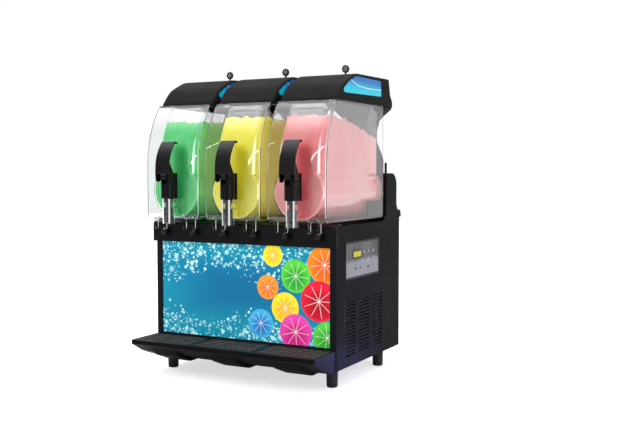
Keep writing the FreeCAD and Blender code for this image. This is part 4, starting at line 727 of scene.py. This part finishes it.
class DRINKS_OT_drinks(bpy.types.Operator):
    """Frozen drink in each bowl, heaped in lumps on top"""
    bl_idname = "drinks.drinks"
    bl_label = "Drinks"

    # Turns of the spiral, and how far to the right of its axis the painted shadow of the tap stands
    turns, dense_aside = 4.5, 0.016
    # Painted light: how strongly the ice glows on faces turned to the front, to the next bowl and outwards
    lit_front, lit_beside, lit_outside = 0.38, 0.75, 0.15
    # How level the drink's top is, how far the heap stays inside its edges, and how far it lies above it
    level = 0.85
    front_inset, inset, lift = 0.0006, 0.0004, 0.0001
    # How much closer the rows of the heap's mesh lie at the front
    crowding = 1.25
    # How steeply a lump falls off; how many small ones lie across a large one; their share of its height
    fall = 1.7
    small_across, small_height = 2.3, 0.3
    # The least and the range of a lump's own height, and what the heap has everywhere
    lowest, height_range, least = 0.25, 1.1, 0.0004
    # Share of their height that the lumps have at the front, and where they grow to their full height
    front_height, front_y, front_run = 0.7, -0.14, 0.12

    def execute(self, context):
        look = looks(context, "drink")
        for k, side in enumerate(SIDES):
            finish = self.ice(look, side)
            dress(finish, ["slush_" + side])
            self.heap(look, side, finish, look.seed + k)
        return {"FINISHED"}

    def ice(self, look, side):
        """Milky ice: paler and darker drifts, fine crystals, arcs left by the spiral, a painted shadow of the
        tap as a deeper-coloured column in front of the spiral's end, a painted glow from inside, and a wet
        sheen."""
        made, tree, skin = material("ice_" + side)
        low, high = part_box("auger_" + side)
        middle = (low + high) / 2
        at = axes(tree)
        crystal = cloud(tree, 420.0)
        above = (at["Z"] - middle.z) / ((high.z - low.z) / 2)
        along = at["Y"] + above * above * 0.018
        turned = sine(along * (2 * math.pi * self.turns / (high.y - low.y)))
        arcs = ramp(turned, 0.55, 1.0) * ramp(abs(above), 0.85, 0.5)
        swept = ramp(abs(above + 0.25), 0.45, 0.1)
        drift = ramp(cloud(tree, 9.0, detail=5.0, roughness=0.55, distortion=0.6), 0.3, 0.7)
        spread = (drift + (crystal * 0.3 + -0.15)) * 0.7
        airy = calc(tree, "ADD", spread, larger(arcs * 0.35, swept * 0.3), clamp=True)
        shown = blend(airy, getattr(look, side), getattr(look, side + "_pale"))
        # Painted shadow of the tap: a deeper-coloured upright column just right of the tap, in front of the
        # spiral's end.
        beside = abs(at["X"] - (middle.x + self.dense_aside))
        dense = ramp(beside, 0.034, 0.008) * ramp(at["Y"], low.y + 0.03, low.y - 0.005)
        dense = dense * ramp(at["Z"], high.z + 0.085, high.z + 0.04, 0.0, 0.85)
        shown = blend(dense, shown, getattr(look, side + "_deep"))
        # Painted light: the ice glows in its own colour, by the painted glow share.
        through = blend(self.lit_share(tree, side), BLACK, shown)
        fill(skin, {"Base Color": shown, "Roughness": crystal * 0.25 + 0.25, "Subsurface Weight": 0.25,
                    "Subsurface Radius": (0.02, 0.02, 0.02), "Subsurface Scale": 0.5,
                    "Emission Color": through, "Emission Strength": 0.6})
        bump(tree, skin, crystal, 0.0005)
        return made

    def lit_share(self, tree, side):
        """Painted light: how strongly the ice glows in its own colour, more on a side that faces the next
        bowl, to lighten the shade between the bowls.
        """
        across = facing(tree)["X"]
        rightwards = self.lit_outside if side == "right" else self.lit_beside
        leftwards = self.lit_outside if side == "left" else self.lit_beside
        return larger(larger(across * rightwards, across * -leftwards), self.lit_front)

    def heap(self, look, side, finish, seed):
        """A closed lumpy heap that lies on the drink's top and keeps its outline."""
        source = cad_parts["slush_" + side].data
        solid = BVHTree.FromPolygons([v.co for v in source.vertices], [p.vertices for p in source.polygons])
        low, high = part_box("slush_" + side)
        middle_x, middle_y = (low.x + high.x) / 2, (low.y + high.y) / 2
        half_box = (high.x - low.x) / 2
        beyond = 0.01

        def top(x, y):
            """The height of the drink's top, or None beside it."""
            hit, normal, _, _ = solid.ray_cast(Vector((x, y, high.z + beyond)), -UP)
            return hit.z if hit is not None and normal.z > self.level else None

        def edge(found, inner, outer):
            """Where the top ends between a place on it and one beside it."""
            for _ in range(16):
                between = (inner + outer) / 2
                if found(between) is None:
                    outer = between
                else:
                    inner = between
            return inner

        start = edge(lambda y: top(middle_x, y), middle_y, low.y - beyond) + self.front_inset
        end = edge(lambda y: top(middle_x, y), middle_y, high.y + beyond) - self.inset
        rows = round((end - start) / look.step)
        columns = round(2 * half_box / look.step)
        shift = Vector((0.0, 0.0, 3.7 * seed))
        mesh = bmesh.new()
        upper, lower = [], []
        for row in range(rows + 1):
            y = start + (end - start) * (row / rows) ** self.crowding
            half = edge(lambda x: top(middle_x + x, y), 0.0, half_box + beyond) - self.inset
            places = []
            for column in range(columns + 1):
                x = middle_x + half * (2 * column / columns - 1)
                places.append(Vector((x, y, top(x, y) + self.lift)))
            lower.append([mesh.verts.new(place) for place in places])
            upper.append([mesh.verts.new(place + UP * self.lump(place, look, shift)) for place in places])
        for sheet, step in ((upper, 1), (lower, -1)):
            for near, far in zip(sheet, sheet[1:]):
                for k in range(columns):
                    mesh.faces.new((near[k], near[k + 1], far[k + 1], far[k])[::step])
        join(mesh, self.rim(lower), self.rim(upper))
        new_piece("heap_" + side, mesh, "bowl_" + side, finish)

    def rim(self, sheet):
        """The outer vertices of a sheet of rows, in order round it."""
        right = [row[-1] for row in sheet]
        left = [row[0] for row in sheet]
        return sheet[0][:-1] + right[:-1] + sheet[-1][:0:-1] + left[:0:-1]

    def lump(self, place, look, shift):
        """Height of the rounded lumps at a place on the top: each its own, and lower near the front."""
        at = (place + shift) / look.lump
        away, middles = noise.voronoi(at)
        small = noise.voronoi(at * self.small_across)[0][0]
        height = max(0.0, 1.0 - self.fall * away[0] ** 2)
        height += self.small_height * max(0.0, 1.0 - self.fall * small ** 2)
        height *= self.lowest + self.height_range * noise.cell(middles[0] * 3.1)
        rear = min(1.0, max(self.front_height, (place.y - self.front_y) / self.front_run))
        return self.least + look.lump_height * rear * height


class DRINKS_OT_augers(bpy.types.Operator):
    """Spirals, drive shafts and cold drums inside the bowls"""
    bl_idname = "drinks.augers"
    bl_label = "Augers and drums"

    def execute(self, context):
        hard_surface("auger_plastic", each("auger"), (0.72, 0.73, 0.72), (0.82, 0.82, 0.82), 0.34,
                     depth=0.00002, grain=0.0012, edge=0.0006)
        metal("stainless", ["evaporator_drums", *each("drive_shaft")], (0.66, 0.67, 0.69), 0.24,
              stretch=(1.0, 0.05, 1.0))
        return {"FINISHED"}


class DRINKS_OT_taps(bpy.types.Operator):
    """Tap sleeves, levers and plungers"""
    bl_idname = "drinks.taps"
    bl_label = "Taps"

    liner_radius = 0.0132
    liner_bore = 0.0118
    liner_gap = 0.0006

    def execute(self, context):
        look = looks(context, "cabinet")
        hard_surface("tap_plastic", each("tap_housing"), look.gloss, (0.06, 0.06, 0.065), 0.20, spread=0.12,
                     depth=0.00002, grain=look.peel, coat=0.1, shine=0.15)
        hard_surface("lever_plastic", each("tap_handle"), look.gloss, (0.03, 0.03, 0.035), 0.28,
                     spread=0.12, shine=0.25)
        plunger = hard_surface("plunger_plastic", each("tap_piston"), (0.018, 0.018, 0.02),
                               (0.06, 0.06, 0.06), 0.3, depth=0.00002, edge=0.0005)
        for side in SIDES:
            self.liner(look, side, plunger)
        return {"FINISHED"}

    def liner(self, look, side, finish):
        """A dark sleeve inside the spout, below the plunger."""
        low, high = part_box("tap_piston_" + side)
        middle = (low + high) / 2
        top = low.z - self.liner_gap
        bottom = top - look.liner
        mesh = bmesh.new()
        rings = []
        for radius, height in ((self.liner_radius, bottom), (self.liner_radius, top),
                               (self.liner_bore, top), (self.liner_bore, bottom)):
            rings.append([mesh.verts.new((middle.x + x, middle.y + y, height)) for x, y in disc(radius, 48)])
        for k in range(4):
            join(mesh, rings[k - 1], rings[k])
        new_piece("spout_liner_" + side, mesh, "bowl_" + side, finish)


class DRINKS_OT_lids(bpy.types.Operator):
    """Domed lids with lit panes in their sides"""
    bl_idname = "drinks.lids"
    bl_label = "Lids"

    def execute(self, context):
        look = looks(context, "cabinet")
        hard_surface("lid_plastic", each("lid"), look.lid, (0.08, 0.08, 0.08), 0.5, spread=0.12,
                     depth=0.00006, shine=0.01)
        dress(self.pane(looks(context, "print")), each("lid_windows"))
        return {"FINISHED"}

    def pane(self, look):
        """Blue above, cyan below, with one thin pale wave that falls behind the front and then runs level."""
        low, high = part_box("lid_windows_right")
        made, tree, skin = material("lid_pane")
        at = axes(tree)
        along = (at["Y"] - low.y) / (high.y - low.y)
        up = (at["Z"] - low.z) / (high.z - low.z)
        wave = ramp(along, 0.42, 0.02, 0.46, 0.86) + sine(along * 7.0) * 0.03
        shown = blend(ramp(up, 0.88, 0.22), look.pane_high, look.pane_low)
        lit(skin, blend(ramp(abs(up - wave), 0.028, 0.008), shown, (0.72, 0.95, 1.0)), look.pane_glow)
        bump(tree, skin, wiped(tree, skin, 0.1, 0.08), 0.00001)
        put(skin["Specular IOR Level"], 0.2)
        return made


class DRINKS_OT_keys(bpy.types.Operator):
    """Lid keys: dark turned bow with a grey insert on both faces"""
    bl_idname = "drinks.keys"
    bl_label = "Lid keys"

    insert_share = 0.60
    insert_depth = 0.0005
    insert_slope = 0.0006

    def execute(self, context):
        hard_surface("key_plastic", each("lid_key"), (0.016, 0.016, 0.017), (0.09, 0.09, 0.09), 0.28,
                     depth=0.00002, edge=0.0006)
        grey = metal("key_insert", [], (0.34, 0.35, 0.36), 0.34)
        for side in SIDES:
            self.inserts(side, grey)
        return {"FINISHED"}

    def inserts(self, side, finish):
        """A low disc on the bow's front face and one on its rear face."""
        low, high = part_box("lid_key_" + side)
        radius = (high.x - low.x) / 2
        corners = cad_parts["lid_key_" + side].data.vertices
        faces = [v.co.y for v in corners if v.co.z > high.z - 0.3 * radius]
        mesh = bmesh.new()
        for face, way in ((min(faces), -1), (max(faces), 1)):
            place = Vector(((low.x + high.x) / 2, face, high.z - radius))
            out = Vector((0, way, 0))
            prism(mesh, disc(radius * self.insert_share, 28), place, UP.cross(out), out,
                  self.insert_depth, self.insert_slope)
        new_piece("key_insert_" + side, mesh, "lid_key_" + side, finish, smooth=False)


class DRINKS_OT_trays(bpy.types.Operator):
    """Drip trays and their slotted grilles"""
    bl_idname = "drinks.trays"
    bl_label = "Drip trays"

    # Distance from slot to slot, from row to row, and from the end slots to the grille's sides
    pitch = 0.007
    row_pitch = 0.022
    margin = 0.008

    def execute(self, context):
        look = looks(context, "cabinet")
        hard_surface("tray_plastic", each("drip_tray"), look.gloss, (0.05, 0.05, 0.055), 0.38, spread=0.14,
                     depth=0.00005, shine=0.06)
        for side in SIDES:
            # The grille's pale rubbed colour makes its slot edges partly rubbed and partly a painted
            # highlight.
            grille = hard_surface("grille_plastic_" + side, ["drip_grille_" + side], (0.008, 0.008, 0.009),
                                  (0.30, 0.30, 0.30), 0.62, spread=0.16, depth=0.00004, edge=0.0010,
                                  shine=0.03)
            self.wear_ribs(grille.node_tree, side)
        return {"FINISHED"}

    def wear_ribs(self, tree, side):
        """Painted highlights: paints the grille's plastic pale on the upward faces along the ribs between its
        slots.
        """
        low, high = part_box("drip_grille_" + side)
        middle = (low + high) / 2
        columns = int((high.x - low.x - 2 * self.margin) / self.pitch)
        at = axes(tree)
        across = at["X"] - (middle.x + (columns % 2) * self.pitch / 2)
        rib = calc(tree, "COSINE", across * (2 * math.pi / self.pitch))
        row = calc(tree, "COSINE", (at["Y"] - middle.y) * (2 * math.pi / self.row_pitch))
        # pale is the painted highlight on the ribs' upward faces.
        pale = ramp(rib, 0.2, 0.9) * ramp(row, 0.5, 0.3) * ramp(facing(tree)["Z"], 0.9, 0.99, 0.0, 0.75)
        base = node_of(tree, "BSDF_PRINCIPLED").inputs["Base Color"]
        put(base, blend(pale, base.links[0].from_socket, (0.34, 0.33, 0.30)))


class DRINKS_OT_controls(bpy.types.Operator):
    """Control film with its lit display, indicator lamps and key marks"""
    bl_idname = "drinks.controls"
    bl_label = "Controls"

    depth = 0.0005
    slope = 0.0003
    sunk = 0.00005
    frame_width = 0.003
    frame_corner = 0.003
    glass_corner = 0.0015
    glass_raise = 0.00045
    # Places on the film as shares of its width and height; a lamp's third number is its relative size
    display_at = (0.325, 0.65)
    star_at = (0.29, 0.265)
    drop_at = (0.42, 0.255)
    bars_at = (0.65, 0.265)
    lamps = ((0.325, 0.82, 0.6), (0.54, 0.68, 1.0), (0.67, 0.68, 1.0), (0.815, 0.68, 1.0),
             (0.48, 0.46, 1.0), (0.67, 0.47, 1.0), (0.83, 0.49, 1.0))
    star_line = 0.0012
    bar_heights = (0.35, 0.65, 0.95)

    def execute(self, context):
        look = looks(context, "control")
        low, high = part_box("control_overlay")
        dress(self.film(look, low, high), ["control_overlay"])
        self.marks(look, low, high)
        return {"FINISHED"}

    def film(self, look, low, high):
        """Dark border, grey upper half and silver lower half with a fine metallic grain."""
        made, tree, skin = material("control_film")
        at = axes(tree)
        middle, half = (low + high) / 2, (high - low) / 2
        up = (at["Z"] - low.z) / (high.z - low.z)
        shown = blend(ramp(up, 0.40, 0.56), look.film_low, look.film_high)
        grains = use(tree, "Grain", width=0.0006)
        shown = blend(grains["Smudge"] * 0.2, shown, (0.62, 0.60, 0.64))
        past_edge = larger(abs(at["Y"] - middle.y) - half.y, abs(at["Z"] - middle.z) - half.z)
        shown = blend(ramp(past_edge, -look.border, 0.0006 - look.border), shown, (0.008, 0.008, 0.010))
        fill(skin, {"Base Color": shown, "Roughness": grains["Smudge"] * 0.1 + 0.34, "Metallic": 0.2})
        bump(tree, skin, grains["Height"], 0.00002)
        return made

    def marks(self, look, low, high):
        """Display, indicator lamps and key marks, raised a little from the film."""

        def at(across, up, out=-self.sunk):
            return Vector((high.x + out, low.y + across * (high.y - low.y), low.z + up * (high.z - low.z)))

        def raised(name, finish, shapes):
            mesh = bmesh.new()
            for outline, place in shapes:
                prism(mesh, outline, place, Vector((0, 1, 0)), Vector((1, 0, 0)), self.depth, self.slope)
            new_piece(name, mesh, "cabinet", finish, smooth=False)

        dark = hard_surface("key_ink", [], (0.010, 0.010, 0.012), (0.05, 0.05, 0.05), 0.3, depth=0.00001,
                            grain=0.0008, edge=0.0003)
        frame_shape = rounded(look.display_width + 2 * self.frame_width,
                              look.display_height + 2 * self.frame_width, self.frame_corner)
        raised("display_frame", dark, [(frame_shape, at(*self.display_at))])
        glass = rounded(look.display_width, look.display_height, self.glass_corner)
        raised("display", self.display(look), [(glass, at(*self.display_at, self.glass_raise - self.sunk))])
        raised("indicator_lamps", self.lamp_cap(), [(disc(look.lamp_radius * size), at(across, up))
                                                    for across, up, size in self.lamps])
        raised("key_marks", dark, self.icons(look.mark, at))

    def icons(self, size, at):
        """Plain marks of the keys: a star of ice, a drop and a bar for each speed."""
        shapes = []
        line = [(x * size / 2, z * self.star_line / 2) for x, z in ((1, 1), (-1, 1), (-1, -1), (1, -1))]
        for turn in (0.0, math.pi / 3, 2 * math.pi / 3):
            cos, sin = math.cos(turn), math.sin(turn)
            shapes.append(([(x * cos - z * sin, x * sin + z * cos) for x, z in line], at(*self.star_at)))
        drop = [(x * 0.62, z * 0.62 + max(0.0, z) * 0.7) for x, z in disc(size / 2)]
        shapes.append((drop, at(*self.drop_at)))
        for k, height in enumerate(self.bar_heights):
            bar = rounded(size * 0.22, size * height, 0.0003, 2)
            shift = Vector((0, (k - 1) * size * 0.36, (height - self.bar_heights[-1]) * size / 2))
            shapes.append((bar, at(*self.bars_at) + shift))
        return shapes

    def display(self, look):
        """Lit display with fine rows."""
        made, tree, skin = material("display_glass")
        at = axes(tree)
        rows = ramp(sine(at["Z"] * 2400.0), -1.0, 1.0)
        columns = ramp(sine(at["Y"] * 620.0), 0.2, 0.7)
        lit(skin, blend(larger(rows * 0.3, columns * 0.5), look.display, (0.20, 0.16, 0.01)), 0.35)
        put(skin["Roughness"], 0.2)
        return made

    def lamp_cap(self):
        """Pale domed cap of an indicator lamp, with paler and darker specks."""
        made, tree, skin = material("lamp_cap")
        speck = ramp(cloud(tree, 900.0), 0.3, 0.7)
        lit(skin, blend(speck, (0.50, 0.58, 0.62), (0.82, 0.86, 0.88)), 0.15)
        put(skin["Roughness"], 0.3)
        return made


class DRINKS_OT_cooling(bpy.types.Operator):
    """Compressor, condenser, fan, pipes, drives and electric parts inside and behind"""
    bl_idname = "drinks.cooling"
    bl_label = "Cooling and drives"

    def execute(self, context):
        look = looks(context, "cabinet")
        hard_surface("compressor_paint", ["compressor"], (0.012, 0.012, 0.013), (0.08, 0.08, 0.08), 0.22,
                     depth=0.00005, grain=look.peel, coat=0.4)
        hard_surface("shroud_steel", ["fan_shroud"], (0.16, 0.16, 0.17), (0.35, 0.35, 0.36), 0.38,
                     grain=look.peel)
        hard_surface("motor_paint", ["gearmotors"], (0.20, 0.22, 0.25), (0.40, 0.41, 0.42), 0.36,
                     grain=look.peel)
        metal("fin_aluminium", ["condenser"], (0.74, 0.75, 0.76), 0.3, stretch=(1.0, 1.0, 0.05))
        metal("fan_aluminium", ["condenser_fan"], (0.70, 0.71, 0.72), 0.34)
        metal("copper", ["refrigerant_pipes"], (0.80, 0.38, 0.22), 0.28)
        hard_surface("board_laminate", ["control_board"], (0.015, 0.16, 0.06), (0.10, 0.30, 0.15), 0.34,
                     depth=0.00002, grain=0.001, edge=0.0004)
        hard_surface("switch_plastic", ["power_switch"], (0.42, 0.010, 0.010), (0.6, 0.08, 0.06), 0.2,
                     spread=0.08, depth=0.00002, grain=look.peel, edge=0.0008, coat=0.4)
        hard_surface("fitting_plastic", ["power_fittings"], (0.02, 0.02, 0.021), (0.07, 0.07, 0.07), 0.36,
                     edge=0.0006)
        return {"FINISHED"}


class DRINKS_PT_pieces(bpy.types.Panel):
    """Lists the operators in the order in which they run"""
    bl_idname = "DRINKS_PT_pieces"
    bl_label = "Frozen drink machine"
    bl_space_type = "VIEW_3D"
    bl_region_type = "UI"
    bl_category = "Drinks"

    def draw(self, context):
        for step in STEPS:
            self.layout.operator(step.bl_idname)


SETTINGS = {"cabinet": CabinetLooks, "drink": DrinkLooks, "print": PrintLooks, "control": ControlLooks,
            "stage": StageLooks}
STEPS = (DRINKS_OT_stage, DRINKS_OT_groups, DRINKS_OT_cabinet, DRINKS_OT_trim, DRINKS_OT_tower,
         DRINKS_OT_panel, DRINKS_OT_bowls, DRINKS_OT_drinks, DRINKS_OT_augers, DRINKS_OT_taps,
         DRINKS_OT_lids, DRINKS_OT_keys, DRINKS_OT_trays, DRINKS_OT_controls, DRINKS_OT_cooling)
CLASSES = (*SETTINGS.values(), *STEPS, DRINKS_PT_pieces)


def register():
    for made in CLASSES:
        bpy.utils.register_class(made)
    for name, made in SETTINGS.items():
        setattr(bpy.types.Scene, "drinks_" + name, PointerProperty(type=made))


def unregister():
    for name in SETTINGS:
        delattr(bpy.types.Scene, "drinks_" + name)
    for made in reversed(CLASSES):
        bpy.utils.unregister_class(made)


def main():
    register()
    for step in STEPS:
        group_name, name = step.bl_idname.split(".")
        getattr(getattr(bpy.ops, group_name), name)()


if __name__ == "__main__":
    main()
